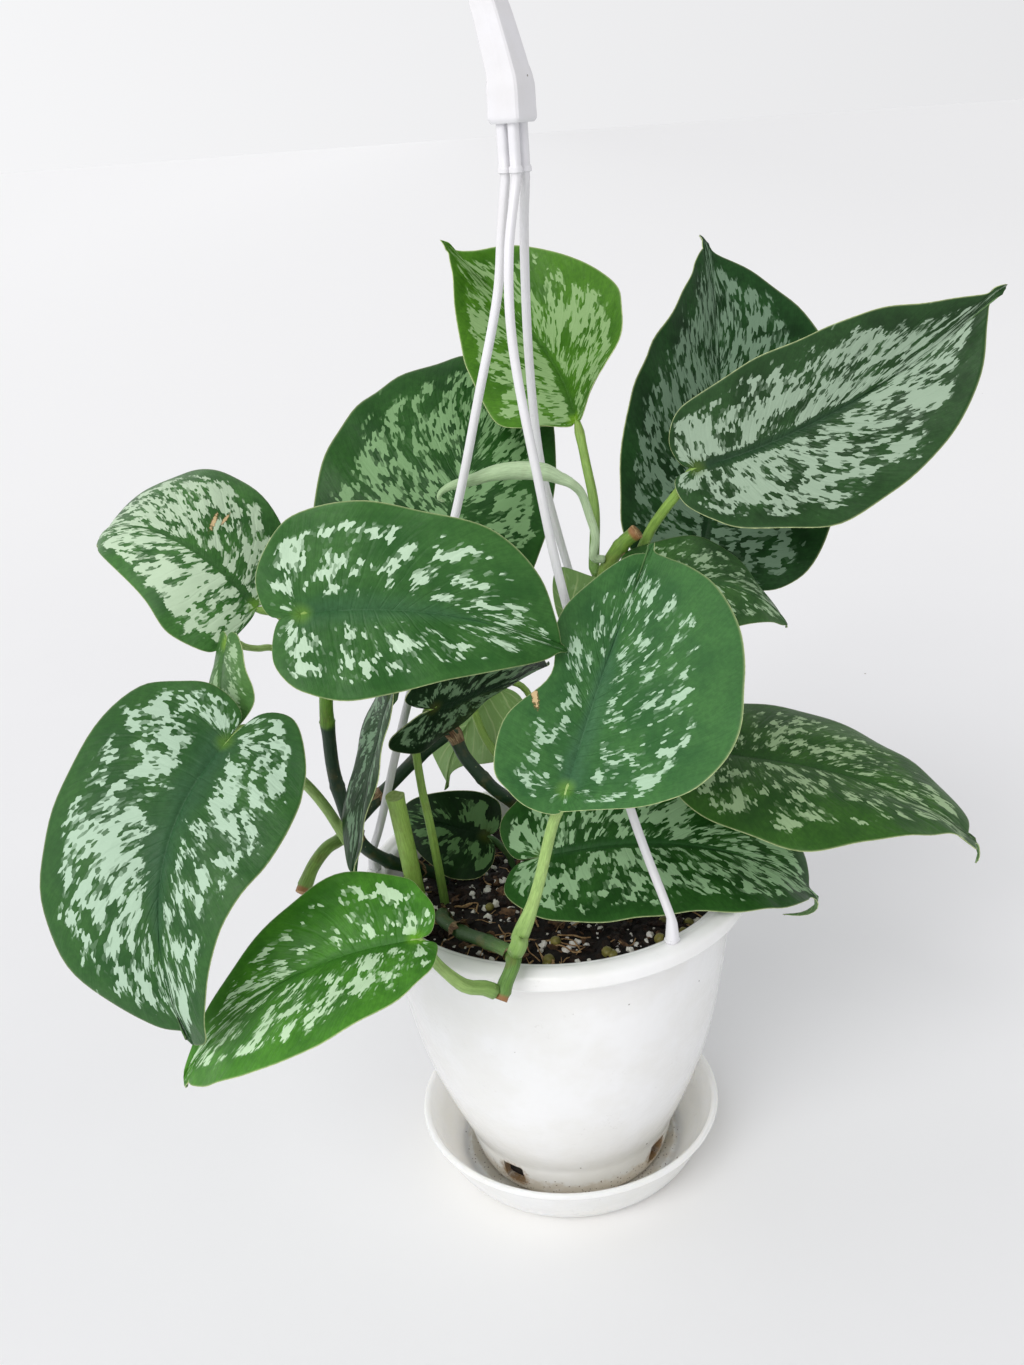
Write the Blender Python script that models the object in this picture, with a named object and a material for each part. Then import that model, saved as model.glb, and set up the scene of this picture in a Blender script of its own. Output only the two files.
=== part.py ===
"""Satin pothos in its hanging pot, standing on a saucer: the solid pieces at real size.

Lengths in the tables are millimetres and angles are degrees. MM turns a length into
Blender's metres. The pot's axis is the Z axis and the saucer stands on Z = 0.
"""
import math
from dataclasses import dataclass

import bmesh
import bpy
import numpy as np

MM = 0.001
GAP = 0.3                      # left between pieces that rest on or in each other

# Saucer
SAUCER_BASE_RADIUS = 49.3
SAUCER_RIM_RADIUS = 63.1
SAUCER_HEIGHT = 23.6
SAUCER_WALL = 1.8
SAUCER_FLOOR = 2.2

# Pot
POT_WALL = 2.0
POT_BASE = SAUCER_FLOOR + GAP
FOOT_RADIUS = 40.5             # at the very bottom
FOOT_TOP_RADIUS = 44.2         # where the bowl starts
FOOT_TOP = 18.5
BOWL_RADII = ((30.0, 49.1), (45.0, 54.8), (65.0, 60.8), (92.0, 65.8), (122.0, 69.6))
LIP_RADIUS = 77.5
LIP_TOP = 135.2
LIP_BOTTOM = 128.5
LIP_INNER_RADIUS = 68.1
NOTCH_WIDTH = 9.5
NOTCH_BOTTOM = 7.0
NOTCH_TOP = 16.5
NOTCH_ANGLES = (-127.0, -38.0, 52.0, 142.0)
ROUND_STEPS = 36
FEWEST_FACES = 12              # a Boolean that leaves fewer than this has failed

# Soil
SOIL_TOP = 122.0
SOIL_MOUND = 1.5
HOLE_DEPTH = 13.0

# Hanger
ROD_RADIUS = 1.5
SLEEVE_RADIUS = 1.8
COLLAR_RADIUS = 2.2
CLIP_RADIUS = 2.4
ROD_FOOT_CIRCLE = 72.8
CLIP_LENGTH = 9.0
PEG_LENGTH = 5.0
SLEEVE_LENGTH = 14.0
SOCKET_DEPTH = 6.0
ROD_SIDES = 7
HEAD_BOTTOM = 411.0
HEAD_CENTRE = (1.5, -0.5)
HEAD_SIDE = 11.5
HOOK_RADIUS = 19.0
HOOK_PLANE = 35.0              # how far the hook's plane is turned from the X axis


@dataclass
class Rod:
    """One rod of the hanger: its hole in the pot's lip, its place in the head and its bow."""
    name: str
    foot_angle: float
    top: tuple
    bow: tuple                 # points between foot and sleeve


RODS = (
    Rod("hanger_rod_left", 176.0, (-2.1, -1.0),
        ((-67.5, 3.0, 159.3), (-59.5, 0.0, 186.4), (-50.3, -1.5, 215.3), (-28.0, -1.7, 282.0),
         (-16.5, -1.5, 323.0), (-7.6, -1.3, 356.0), (-4.6, -1.2, 377.0))),
    Rod("hanger_rod_front", -58.0, (1.5, -3.8),
        ((26.7, -46.0, 182.5), (9.4, -27.0, 252.0), (1.5, -20.0, 301.0), (-3.4, -13.5, 341.0),
         (-2.8, -9.0, 370.0))),
    Rod("hanger_rod_back", 62.0, (4.6, 1.4),
        ((22.5, 48.0, 205.0), (9.5, 34.0, 265.0), (4.4, 27.0, 295.0), (2.6, 19.0, 333.0),
         (3.2, 10.0, 373.0))),
)


@dataclass
class Stem:
    """A stem: its centre line from below the soil upwards, and its radius."""
    name: str
    points: tuple
    radius: float
    colour: tuple = (0.035, 0.11, 0.03)


STEMS = (
    Stem("stem_over_rim",
         ((-44, -20, 111), (-44, -20, 119), (-44, -20.3, 126), (-44.8, -25, 131),
          (-44.5, -34, 134.3), (-37.3, -45, 135.3), (-26.7, -60, 139.5), (-18.6, -76, 143.5),
          (-22, -84, 137.7), (-24.1, -87, 133.8)), 2.5),
    Stem("stem_middle",
         ((6, 6, 111), (6, 6, 119), (6, 6, 127), (0, 8, 142), (-13, 8, 158), (-23, 2, 171),
          (-32, 0, 185), (-36.5, 3, 194), (-43, 6, 190), (-53, 9, 181), (-61, 9, 173.5),
          (-72, 8, 163), (-83.2, 2.5, 153.5), (-89.3, -4, 152.4), (-94.2, -10, 148.6),
          (-97.4, -15, 143.7), (-99, -18, 141.1)), 2.6),
    Stem("stem_left",
         ((-47, 13, 111), (-47, 13, 119), (-47, 13, 126), (-54.4, 7, 133.2), (-64.1, -1, 141.8),
          (-68.9, -5, 147.2), (-73.4, -9, 153.8), (-77.5, -10, 161.8), (-79.7, -9, 170.6),
          (-82.3, -7, 186.1), (-82.7, -5, 200.8), (-82, -5, 215.6), (-78, -6, 240)), 2.6),
    Stem("stem_right",
         ((14, 14, 111), (14, 14, 119), (14, 14, 127), (17, 16, 160), (20, 18, 200), (23, 19, 232),
          (27, 18, 251), (33, 16, 261), (38.7, 14, 266.5)), 2.7),
)


@dataclass
class Leaf:
    """A heart-shaped leaf with its stalk.

    base is where the stalk meets the blade. heading is the midrib's direction seen from
    above, from +X towards +Y, rise its slope there and roll the blade's turn about it.
    Over the midrib's length the blade bends down by arch, sideways by sweep and turns by
    twist. fold lifts both halves, and curl bends them on towards the margin. Widths, lobe,
    drip and the shape values are shares of the length.
    """
    name: str
    base: tuple
    heading: float
    rise: float
    roll: float
    length: float
    left: float
    right: float
    arch: float
    sweep: float
    fold: float
    curl: float
    twist: float
    lobe: float
    shape: tuple               # peak left, peak right, fullness left, fullness right
    stalk: tuple               # points from the blade down to the stem or soil
    seat: str                  # the stem that carries the stalk, or "soil"
    seat_share: float = 1.0    # how far up that stem
    drip: float = 0.05
    hook: float = 30.0
    stalk_radius: float = 1.8
    columns: int = 3
    colour: tuple = (0.045, 0.15, 0.05)


LEAVES = (
    Leaf("leaf_front", (3, -83, 210), 64, 39, 8, 99, .28, .59, 9, 4, 27, -7, 0, .11,
         (-.11, -.05, .13, .13), ((-2, -81, 197), (-7.8, -78, 173.7), (-11.6, -77, 161.7),
                                  (-15.7, -76, 151.5)),
         "stem_over_rim", 0.84, stalk_radius=2.2),
    Leaf("leaf_middle_left", (-78, -63, 270), 1, 3, 62, 88, .40, .33, 32, 27, 18, -12, 12, .15,
         (-.05, -.10, .16, -.13), ((-79, -55, 261), (-79, -34, 247)), "stem_left", .975),
    Leaf("leaf_left_large", (-108, -64.5, 227.5), -136, -27, -25, 108, .38, .40, 68, -62, 21, -35,
         -10, .16, (-.08, -.06, -.12, .33), ((-103, -55, 228), (-100, -44, 215), (-95.5, -32, 201),
                                         (-90.9, -21, 188.6), (-85.1, -18.5, 176.9)), "stem_left", .46,
         stalk_radius=2.1),
    Leaf("leaf_left_low", (-50, -89, 161.5), -178, -3, -17, 97, .38, .29, 54, -23, 25, -13, -27,
         .09, (.03, -.06, 0, -.40), ((-43.7, -91, 152.5), (-35.7, -90, 142.8)), "stem_over_rim", 0.98,
         stalk_radius=2.1),
    Leaf("leaf_left_high", (-102, -10, 256), 179, 59, -41, 87, .34, .48, 116, -22, -7, -19, -18,
         .05, (-.07, .11, -.24, .40), ((-95, -8, 252),), "stem_left", .99),
    Leaf("leaf_left_small", (-109.6, -31, 251), -123, -61, 32, 35.5, .51, .33, 21, -18, 17, -39, -28,
         .09, (.03, .11, .36, 0), ((-105.2, -28, 247.8), (-101, -23, 244.7), (-96.5, -17, 242.2)), "stem_left", .95,
         drip=.03, stalk_radius=1.4, columns=2),
    Leaf("leaf_back", (-38, 39, 242), 60, 64, 36, 115, .49, .33, 38, 24, 0, -12, -11, .12,
         (0, 0, .05, 0), ((-35, 32, 229), (-27, 17, 194), (-20, 11, 180)), "stem_middle", 0.276),
    Leaf("leaf_top", (20, 46, 303), 92, 27, -35, 101, .35, .42, -80, -30, 36, -14, 42, .03,
         (.03, 0, .15, 0), ((22.5, 39, 288), (24.5, 31, 271)), "stem_right", .86,
         stalk_radius=2.1, colour=(0.07, 0.22, 0.04)),
    Leaf("leaf_right_back", (67, 44, 245), 60, 58, 36, 140, .35, .36, 23, -14, 17, 12, 15, .07,
         (.05, 0, -.45, .2), ((60, 39, 236), (42, 30, 222)), "stem_right", .66,
         stalk_radius=2.1, drip=.08),
    Leaf("leaf_right_high", (61, 13, 289), 4, 11, 58, 123, .28, .34, -18, -26, 20, 8, 32, .06,
         (-.01, .01, .18, .08), ((55, 14, 281), (49, 18, 272), (43, 22, 261)), "stem_right", .78,
         stalk_radius=2.2, drip=.07, hook=70),
    Leaf("leaf_curled", (38, -5, 254), -15, 5, 40, 65, .42, .34, 82, 10, -25, 0, -6, .12,
         (.03, 0, .2, -.5), ((35, -3, 246), (30, 6, 236)), "stem_right", .70),
    Leaf("leaf_right_low", (59, -10, 185), -8, -7, 15, 115, .38, .36, 41, -2, 13, -36, -7, .10,
         (.05, .05, .05, -.45), ((51, -5, 183), (36, 7, 185)), "stem_right", .47, drip=.12,
         hook=60),
    Leaf("leaf_over_soil", (-5, -21, 151), -4, 12, 30, 119, .35, .31, 70, 16, 11, -2, 9, .13,
         (.11, -.07, -.05, -.06), ((-5, -19, 147), (-1, -12, 137), (1, -10, 127), (1, -10, 119),
                                   (1, -10, 111)), "soil", drip=.24, hook=110),
    Leaf("leaf_low_dark", (-27, 19, 140), 167, 15, -48, 42, .42, .40, 52, 5, 20, -11, -25, .10,
         (-.06, -.10, 0, -.06), ((-23, 20, 136), (-18, 22, 127), (-18, 22, 119), (-18, 22, 111)),
         "soil", colour=(0.02, 0.07, 0.025), stalk_radius=1.5, columns=2),
    Leaf("leaf_under_middle", (-40.5, -32, 220.4), 43, -6, 117, 61, .39, .47, 9, -1, -8, 8, 27, .25,
         (-.11, .04, .06, -.29), ((-45, -24, 213), (-49.5, -12, 203), (-50.5, -4, 190), (-49.5, -6, 175),
                                  (-47.5, -9, 160), (-45.5, -4, 127), (-45.5, -4, 119),
                                  (-45.5, -4, 111)), "soil",
         colour=(0.02, 0.07, 0.03)),
    Leaf("leaf_narrow", (-54, -36, 228.5), 160, -67, -24, 73, .24, .33, 10, -22, 17, -28, -14, .08,
         (-.02, .06, -.12, .3), ((-58, -32, 233), (-66, -17, 236)), "stem_left", .945),
    Leaf("leaf_turned", (16, -9, 234), 107, 26, 147, 41, .44, .14, -11, -7, 0, -28, 16, .08,
         (.04, .01, -.35, 0), ((17, -5, 226), (19, 4, 215)), "stem_right", .56,
         stalk_radius=1.6, columns=2),
    Leaf("leaf_pale_back", (-17, 29, 201), 165, -42, 115, 56, .42, .43, -29, 28, 4, -23, 9, .10,
         (.03, .01, .12, -.80), ((-12, 30, 203), (-5, 32, 195), (3, 34, 165), (4, 35, 127),
                                 (4, 35, 119), (4, 35, 111)), "soil",
         stalk_radius=1.6, colour=(0.14, 0.32, 0.06), columns=2),
)

BLADE_EDGE = 0.7               # thickness at the margin
BLADE_MIDRIB = 1.6             # thickness along the midrib
BLADE_ROWS = 15
TIP_ROWS = 4
STALK_SIDES = 6
STEM_SIDES = 8
STALK_TIP_SHARE = 0.8          # radius where the stalk meets the blade
STALK_OVERLAP = 4.0            # how far the stalk runs on under the midrib
SEAT_RUN = 5.0                 # length over which a stalk's end is square to its stem

# Half a blade's outline: share of the half width, share of the length. Negative lengths
# are the lobe behind the stalk, as shares of its depth.
HALF_OUTLINE = ((0, 0), (.10, -.55), (.34, -1.0), (.66, -.72), (.90, .05), (1.0, .27), (.95, .47),
                (.76, .67), (.47, .84), (.19, .95), (.05, .99))
# How far each outline's points stand outside that shape, in percent of the length: left, right
OUTLINE_TRIMS = {
    "leaf_front": ((3.4, -1.2, -0.9, -0.3, -0.9, -4.7, -1.5, -0.5, 0.5, -1.6),
        (1.9, -4.7, -4.2, -2.2, -0.6, -2.8, -1.8, -0.1, -1, -0.6)),
    "leaf_middle_left": ((4.7, -0.4, -1.9, -0.1, -0.5, -2.9, 0.2, 0.6, 0.2, 0.4),
        (-0.2, -3.6, -1.2, 0.5, 1.4, 0.5, 0.6, 1.8, 2.1, 1.1)),
    "leaf_left_large": ((6, 1.1, -1.4, -1.7, -2.6, -2.5, -3.7, 0.2, 4, 2.4),
        (1.8, -4.1, -4.9, -0.8, -1.9, -2.7, -2.1, -2.1, -0.9, -3)),
    "leaf_left_low": ((1.7, -2, -3.2, -1.4, 0.2, 0.1, -0.5, 0.4, 1, 0.4),
        (0.5, -1.9, -3.6, -2.8, 0.2, -2, -2.2, -0.8, -0.3, 0.4)),
    "leaf_left_high": ((-0.6, -1.6, 0, -1.3, -0.2, -2, -0.5, -0.6, -1.5, 0.2),
        (-0.6, -0.4, -0.7, -2.1, 1.8, -0.5, 1, -1, -0.5, -0.3)),
    "leaf_top": ((0.9, -1.9, -1.6, -0.7, -0.3, -0.3, 0.1, 1.1, 1.1, 0.6),
        (1.4, -1.4, -2, -3.3, -1.4, -2.3, -2.5, -1.8, -3, -1.5)),
    "leaf_right_high": ((0.7, -0.2, -2.7, -4.8, -2.8, -2.6, -1.1, -1.5, -0.5, 0.8),
        (4, 0.9, -4.3, -5.3, -0.8, -2.6, -2.8, -2.5, -2.6, -1.2)),
    "leaf_curled": ((1.4, 2.4, 3.9, 3.9, 3.7, 4.2, -0.8, -0.5, 0.2, 0.1),
        (0, 0, 0, 0, 0, 0, 0, 0, 0, 0)),
    "leaf_right_low": ((-0.7, -1.2, -2.6, -6, -4.9, -5, -4.5, 0.9, 2.9, -0.5),
        (0.1, 0.2, 0.5, 1.1, 2.3, -0.7, 0.7, -0.3, 3.5, 1.4)),
    "leaf_over_soil": ((3.1, -0.4, -3.9, 0, 0, 2.7, -2.6, -2.6, -1.5, -0.3),
        (3, 0.5, -2.1, -1.8, -1.5, -2.1, 0.4, 0.8, 0, 0)),
    "leaf_low_dark": ((1.5, 2.5, 6.4, 9, 9, 2.6, 1.1, 0.5, 0.2, 0.1),
        (0.2, 0.4, 0.8, 0, -0.3, -1.1, 0, 2.5, 4.1, 1.5)),
}
LEAST_NOTCH = 0.5              # share of its width that a trimmed point keeps at least
VEIN_START = 0.30              # share of the outline whose veins leave from the stalk
VEIN_POWER = 1.15

# The new leaf, still rolled up, on its stalk: points and radii from the tip to the stem
NEW_LEAF_POINTS = ((-31.5, 4, 286), (-33.5, 4, 287), (-32.5, 4, 289.5), (-28, 4.5, 291.5),
                   (-20, 5, 293), (-12, 5, 295), (-4, 6, 295), (5, 7, 293.5), (10.8, 8, 290.5),
                   (15, 8, 288), (18.5, 10, 283.5), (21, 12, 275), (23, 12.5, 266))
NEW_LEAF_RADII = (0.5, 0.7, 1.0, 1.6, 2.3, 2.9, 3.3, 3.4, 2.4, 1.8, 1.6, 1.6, 1.6)
NEW_LEAF_SEAT = ("stem_right", 0.9)
CUT_STALK_POINTS = ((-56, -5, 111), (-56, -5, 119), (-56, -5, 127), (-56.5, -8, 138),
                    (-57.5, -10, 152), (-59.5, -14, 178))
CUT_STALK_RADIUS = 3.4

WHITE = (0.82, 0.82, 0.80)
SOIL_BROWN = (0.035, 0.02, 0.012)
PALE_GREEN = (0.35, 0.52, 0.25)
BRIGHT_GREEN = (0.30, 0.50, 0.07)


def clear_scene():
    """Takes every object out of the file."""
    for thing in list(bpy.data.objects):
        bpy.data.objects.remove(thing, do_unlink=True)


def material(name, colour, roughness, metallic=0.0):
    """A Principled material with one colour."""
    made = bpy.data.materials.new(name)
    made.use_nodes = True
    shader = made.node_tree.nodes["Principled BSDF"]
    shader.inputs["Base Color"].default_value = (*colour, 1.0)
    shader.inputs["Roughness"].default_value = roughness
    shader.inputs["Metallic"].default_value = metallic
    return made


def solid(name, points, faces, colour, roughness=0.5):
    """An object from points in millimetres, with faces turned outwards."""
    mesh = bpy.data.meshes.new(name)
    mesh.from_pydata([tuple(float(v) * MM for v in p) for p in points], [], faces)
    work = bmesh.new()
    work.from_mesh(mesh)
    bmesh.ops.recalc_face_normals(work, faces=work.faces)
    work.to_mesh(mesh)
    work.free()
    mesh.shade_smooth()
    mesh.set_sharp_from_angle(angle=math.radians(35))
    thing = bpy.data.objects.new(name, mesh)
    bpy.context.scene.collection.objects.link(thing)
    thing.data.materials.append(material(name, colour, roughness))
    return thing


def smooth(points, step):
    """Points about step apart on a smooth curve through the given ones."""
    pts = np.asarray(points, float)
    ends = np.vstack([2 * pts[0] - pts[1], pts, 2 * pts[-1] - pts[-2]])
    out = [pts[0]]
    for a, b, c, d in zip(ends, ends[1:], ends[2:], ends[3:]):
        count = max(1, round(float(np.linalg.norm(c - b)) / step))
        for k in range(1, count + 1):
            f = k / count
            out.append(0.5 * (2 * b + (c - a) * f + (2 * a - 5 * b + 4 * c - d) * f * f
                              + (3 * b - a - 3 * c + d) * f ** 3))
    return np.array(out)


def frames(path):
    """Tangents and two cross directions along a path, turning as little as possible."""
    tangents = np.gradient(path, axis=0)
    tangents /= np.linalg.norm(tangents, axis=1)[:, None]
    side = np.cross(tangents[0], (0.0, 1.0, 0.2))
    sides = []
    for t in tangents:
        side = side - t * np.dot(side, t)
        side = side / np.linalg.norm(side)
        sides.append(side)
    sides = np.array(sides)
    return tangents, sides, np.cross(tangents, sides)


def tube_mesh(path, radii, sides):
    """Points and faces of a closed tube along a path."""
    path = np.asarray(path, float)
    radii = np.broadcast_to(np.asarray(radii, float), (len(path),))
    _, across, up = frames(path)
    turn = 2 * math.pi * np.arange(sides) / sides
    rings = (path[:, None] + radii[:, None, None]
             * (np.cos(turn)[None, :, None] * across[:, None] + np.sin(turn)[None, :, None] * up[:, None]))
    points = rings.reshape(-1, 3)
    faces = []
    for i in range(len(path) - 1):
        for k in range(sides):
            a, b = i * sides + k, i * sides + (k + 1) % sides
            faces.append((a, b, b + sides, a + sides))
    faces.append(tuple(range(sides - 1, -1, -1)))
    faces.append(tuple((len(path) - 1) * sides + k for k in range(sides)))
    return points, faces


def lathe(profile, steps=ROUND_STEPS):
    """Points and faces of a closed profile of (radius, height) turned about Z."""
    points, rings = [], []
    for radius, height in profile:
        if radius == 0:
            rings.append([len(points)])
            points.append((0, 0, height))
            continue
        ring = []
        for k in range(steps):
            turn = 2 * math.pi * k / steps
            ring.append(len(points))
            points.append((radius * math.cos(turn), radius * math.sin(turn), height))
        rings.append(ring)
    faces = []
    closed = profile[0][0] != 0
    pairs = list(zip(rings, rings[1:])) + ([(rings[-1], rings[0])] if closed else [])
    for low, high in pairs:
        for k in range(steps):
            n = (k + 1) % steps
            if len(low) == 1:
                faces.append((low[0], high[k], high[n]))
            elif len(high) == 1:
                faces.append((low[k], low[n], high[0]))
            else:
                faces.append((low[k], low[n], high[n], high[k]))
    return points, faces


def cut(thing, *cutters):
    """Takes the cutters' shapes out of thing, and removes the cutters."""
    combine(thing, "DIFFERENCE", cutters)


def join(thing, *others):
    """Fuses the others into thing, as one body."""
    combine(thing, "UNION", others)


def combine(thing, operation, others):
    """Applies one Boolean for each of the others, and removes them."""
    for other in others:
        shape = combined(thing, operation, other, "EXACT")
        if len(shape.polygons) < FEWEST_FACES:
            shape = combined(thing, operation, other, "MANIFOLD")
        thing.data = shape
        bpy.data.objects.remove(other, do_unlink=True)


def combined(thing, operation, other, solver):
    """The mesh that one Boolean makes of thing and other."""
    step = thing.modifiers.new(operation.lower(), "BOOLEAN")
    step.operation = operation
    step.solver = solver
    step.object = other
    bpy.context.view_layer.update()
    shape = bpy.data.meshes.new_from_object(
        thing.evaluated_get(bpy.context.evaluated_depsgraph_get()))
    thing.modifiers.clear()
    return shape


def rod_cutter(centre, radius, low, high, sides=16):
    """An upright round cutter."""
    path = [(centre[0], centre[1], low), (centre[0], centre[1], high)]
    return solid("cutter", *tube_mesh(path, radius, sides), WHITE)


def make_saucer():
    """The saucer: a flat floor and a flared wall with a small rolled rim."""
    base, rim, wall = SAUCER_BASE_RADIUS, SAUCER_RIM_RADIUS, SAUCER_WALL
    top, floor = SAUCER_HEIGHT, SAUCER_FLOOR
    outer = [(0, 0), (base - 0.8, 0), (base + 4.2, 4.6), (base + 9.0, 14.0),
             (rim - 2.0, top - 2.8), (rim, top - 1.8), (rim - 0.4, top)]
    inner = [(rim - 2.6, top - 0.3), (base + 9.0 - wall, 14.6), (base + 4.2 - wall, 5.6),
             (base - 2.4, floor), (0, floor)]
    return solid("saucer", *lathe(outer + inner), WHITE, 0.35)


def bowl_radius(height):
    """The pot's outer radius at a height between its foot and its lip."""
    heights = [FOOT_TOP] + [h for h, _ in BOWL_RADII]
    radii = [FOOT_TOP_RADIUS] + [r for _, r in BOWL_RADII]
    return float(np.interp(height, heights, radii))


def make_pot():
    """The pot: foot, bowl and a lip turned over outwards, with drain notches and rod holes."""
    wall = POT_WALL
    outer = [(0, POT_BASE), (FOOT_RADIUS - 1.5, POT_BASE), (FOOT_RADIUS, POT_BASE + 1.2),
             (FOOT_TOP_RADIUS, FOOT_TOP)]
    outer += [(r, h) for h, r in BOWL_RADII]
    lip = [(70.2, 132.6), (75.5, 132.2), (75.9, LIP_BOTTOM), (LIP_RADIUS, LIP_BOTTOM),
           (LIP_RADIUS, 132.8), (76.0, 134.7), (72.5, LIP_TOP + 0.4), (69.4, LIP_TOP),
           (LIP_INNER_RADIUS, 133.6)]
    inner = [(r - wall, h) for h, r in reversed(BOWL_RADII)]
    inner += [(FOOT_TOP_RADIUS - wall, FOOT_TOP + 0.8), (FOOT_RADIUS - wall + 0.4, POT_BASE + wall + 0.8),
              (FOOT_RADIUS - wall - 1.0, POT_BASE + wall), (0, POT_BASE + wall)]
    pot = solid("pot", *lathe(outer + lip + inner), WHITE, 0.3)
    for angle in NOTCH_ANGLES:
        turn = math.radians(angle)
        out = np.array((math.cos(turn), math.sin(turn), 0.0))
        side = np.array((-math.sin(turn), math.cos(turn), 0.0)) * NOTCH_WIDTH / 2
        corners = [out * r + side * s + (0, 0, z) for z in (NOTCH_BOTTOM, NOTCH_TOP)
                   for r, s in ((34, -1), (52, -1), (52, 1), (34, 1))]
        faces = [(0, 1, 2, 3), (4, 5, 6, 7), (0, 1, 5, 4), (1, 2, 6, 5), (2, 3, 7, 6), (3, 0, 4, 7)]
        cut(pot, solid("cutter", corners, faces, WHITE))
    for rod in RODS:
        cut(pot, rod_cutter(foot_of(rod), ROD_RADIUS + GAP, 131.0, 140.0, 12))
    return pot


def foot_of(rod):
    """Where a rod goes through the pot's lip, seen from above."""
    turn = math.radians(rod.foot_angle)
    return ROD_FOOT_CIRCLE * math.cos(turn), ROD_FOOT_CIRCLE * math.sin(turn)


def soil_holes():
    """Where stems and stalks stand in the soil: (x, y, radius)."""
    holes = [(stem.points[0][0], stem.points[0][1], stem.radius) for stem in STEMS]
    holes += [(leaf.stalk[-1][0], leaf.stalk[-1][1], leaf.stalk_radius) for leaf in LEAVES
              if leaf.seat == "soil"]
    holes.append((CUT_STALK_POINTS[0][0], CUT_STALK_POINTS[0][1], CUT_STALK_RADIUS))
    return holes


def make_soil():
    """The potting mix: fills the pot, with a plain hole for each stem."""
    inset = POT_WALL + GAP + 0.1
    floor = POT_BASE + POT_WALL + GAP
    profile = [(0, floor), (FOOT_RADIUS - inset - 1.2, floor),
               (FOOT_RADIUS - inset, floor + 1.0),
               (FOOT_TOP_RADIUS - inset, FOOT_TOP + 1.0)]
    profile += [(r - inset, h) for h, r in BOWL_RADII[1:-1]]
    profile += [(bowl_radius(SOIL_TOP - 1) - inset, SOIL_TOP - 1.0), (40.0, SOIL_TOP + 0.4 * SOIL_MOUND),
                (0, SOIL_TOP + SOIL_MOUND)]
    soil = solid("soil", *lathe(profile), SOIL_BROWN, 0.95)
    for x, y, radius in soil_holes():
        cut(soil, rod_cutter((x, y), radius + GAP, SOIL_TOP - HOLE_DEPTH, SOIL_TOP + 12, 12))
    return soil


def make_rod(rod):
    """A rod: peg and clip at the pot's lip, a bowed shank, a collar and a sleeve in the head."""
    x, y = foot_of(rod)
    lip = LIP_TOP + 0.4 + GAP
    clip_top = lip + CLIP_LENGTH
    sleeve_low = HEAD_BOTTOM - SLEEVE_LENGTH
    tx, ty = rod.top
    lead = np.array(rod.bow[0]) - (x, y, clip_top)
    lead = lead / np.linalg.norm(lead)
    start = np.array((x, y, clip_top))
    shank = smooth([start + lead * 1.0, *rod.bow, (tx, ty, sleeve_low - 3.0)], 20.0)
    path = [(x, y, lip - PEG_LENGTH), (x, y, lip - 0.05), (x, y, lip), (x, y, clip_top - 1.5), *shank,
            (tx, ty, sleeve_low - 1.6), (tx, ty, sleeve_low - 1.2), (tx, ty, sleeve_low + 0.6),
            (tx, ty, sleeve_low + 1.0), (tx, ty, HEAD_BOTTOM + SOCKET_DEPTH - GAP)]
    radii = [ROD_RADIUS, ROD_RADIUS, CLIP_RADIUS, CLIP_RADIUS - 0.3] + [ROD_RADIUS] * len(shank)
    radii += [ROD_RADIUS, COLLAR_RADIUS, COLLAR_RADIUS, SLEEVE_RADIUS, SLEEVE_RADIUS]
    return solid(rod.name, *tube_mesh(path, radii, ROD_SIDES), WHITE, 0.35)


def hook_path():
    """The head's centre line and its section sizes: block, leaning arm and hook."""
    plane = math.radians(HOOK_PLANE)
    along = np.array((math.cos(plane), -math.sin(plane), 0.0))
    foot = np.array((*HEAD_CENTRE, 0.0))
    arm = [(0, HEAD_BOTTOM, 1.0), (0, HEAD_BOTTOM + 1.0, 1.06), (0, HEAD_BOTTOM + 11.0, 1.06),
           (-0.8, HEAD_BOTTOM + 16.0, 0.95), (-4.5, HEAD_BOTTOM + 30.0, 0.86),
           (-8.5, HEAD_BOTTOM + 44.0, 0.76)]
    centre = (arm[-1][0] + HOOK_RADIUS, HEAD_BOTTOM + 56.0)
    path = [(foot + along * u + (0, 0, z), size) for u, z, size in arm]
    for k in range(11):
        turn = math.radians(176 - k * 21)
        size = 0.68 - 0.02 * k
        path.append((foot + along * (centre[0] + HOOK_RADIUS * math.cos(turn))
                     + (0, 0, centre[1] + HOOK_RADIUS * math.sin(turn)), size))
    return path


def make_head():
    """The hanger's head: a square block over the rods that runs up into a plain hook."""
    path = hook_path()
    centres = np.array([c for c, _ in path])
    tangents = frames(centres)[0]
    plane = math.radians(HOOK_PLANE)
    flat = np.array((math.sin(plane), math.cos(plane), 0.0))
    rings, sides = [], 8
    for (centre, size), t in zip(path, tangents):
        wide = np.cross(flat, t)
        wide /= np.linalg.norm(wide)
        half = HEAD_SIDE / 2 * size
        bevel = half * 0.22
        corners = ((half, half - bevel), (half - bevel, half), (bevel - half, half), (-half, half - bevel),
                   (-half, bevel - half), (bevel - half, -half), (half - bevel, -half), (half, bevel - half))
        rings += [centre + wide * a + flat * b for a, b in corners]
    faces = []
    for i in range(len(path) - 1):
        for k in range(sides):
            a, b = i * sides + k, i * sides + (k + 1) % sides
            faces.append((a, b, b + sides, a + sides))
    faces.append(tuple(range(sides - 1, -1, -1)))
    faces.append(tuple((len(path) - 1) * sides + k for k in range(sides)))
    head = solid("hanger_head", rings, faces, WHITE, 0.35)
    for rod in RODS:
        cut(head, rod_cutter(rod.top, SLEEVE_RADIUS + GAP, HEAD_BOTTOM - 2, HEAD_BOTTOM + SOCKET_DEPTH, 12))
    return head


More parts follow.
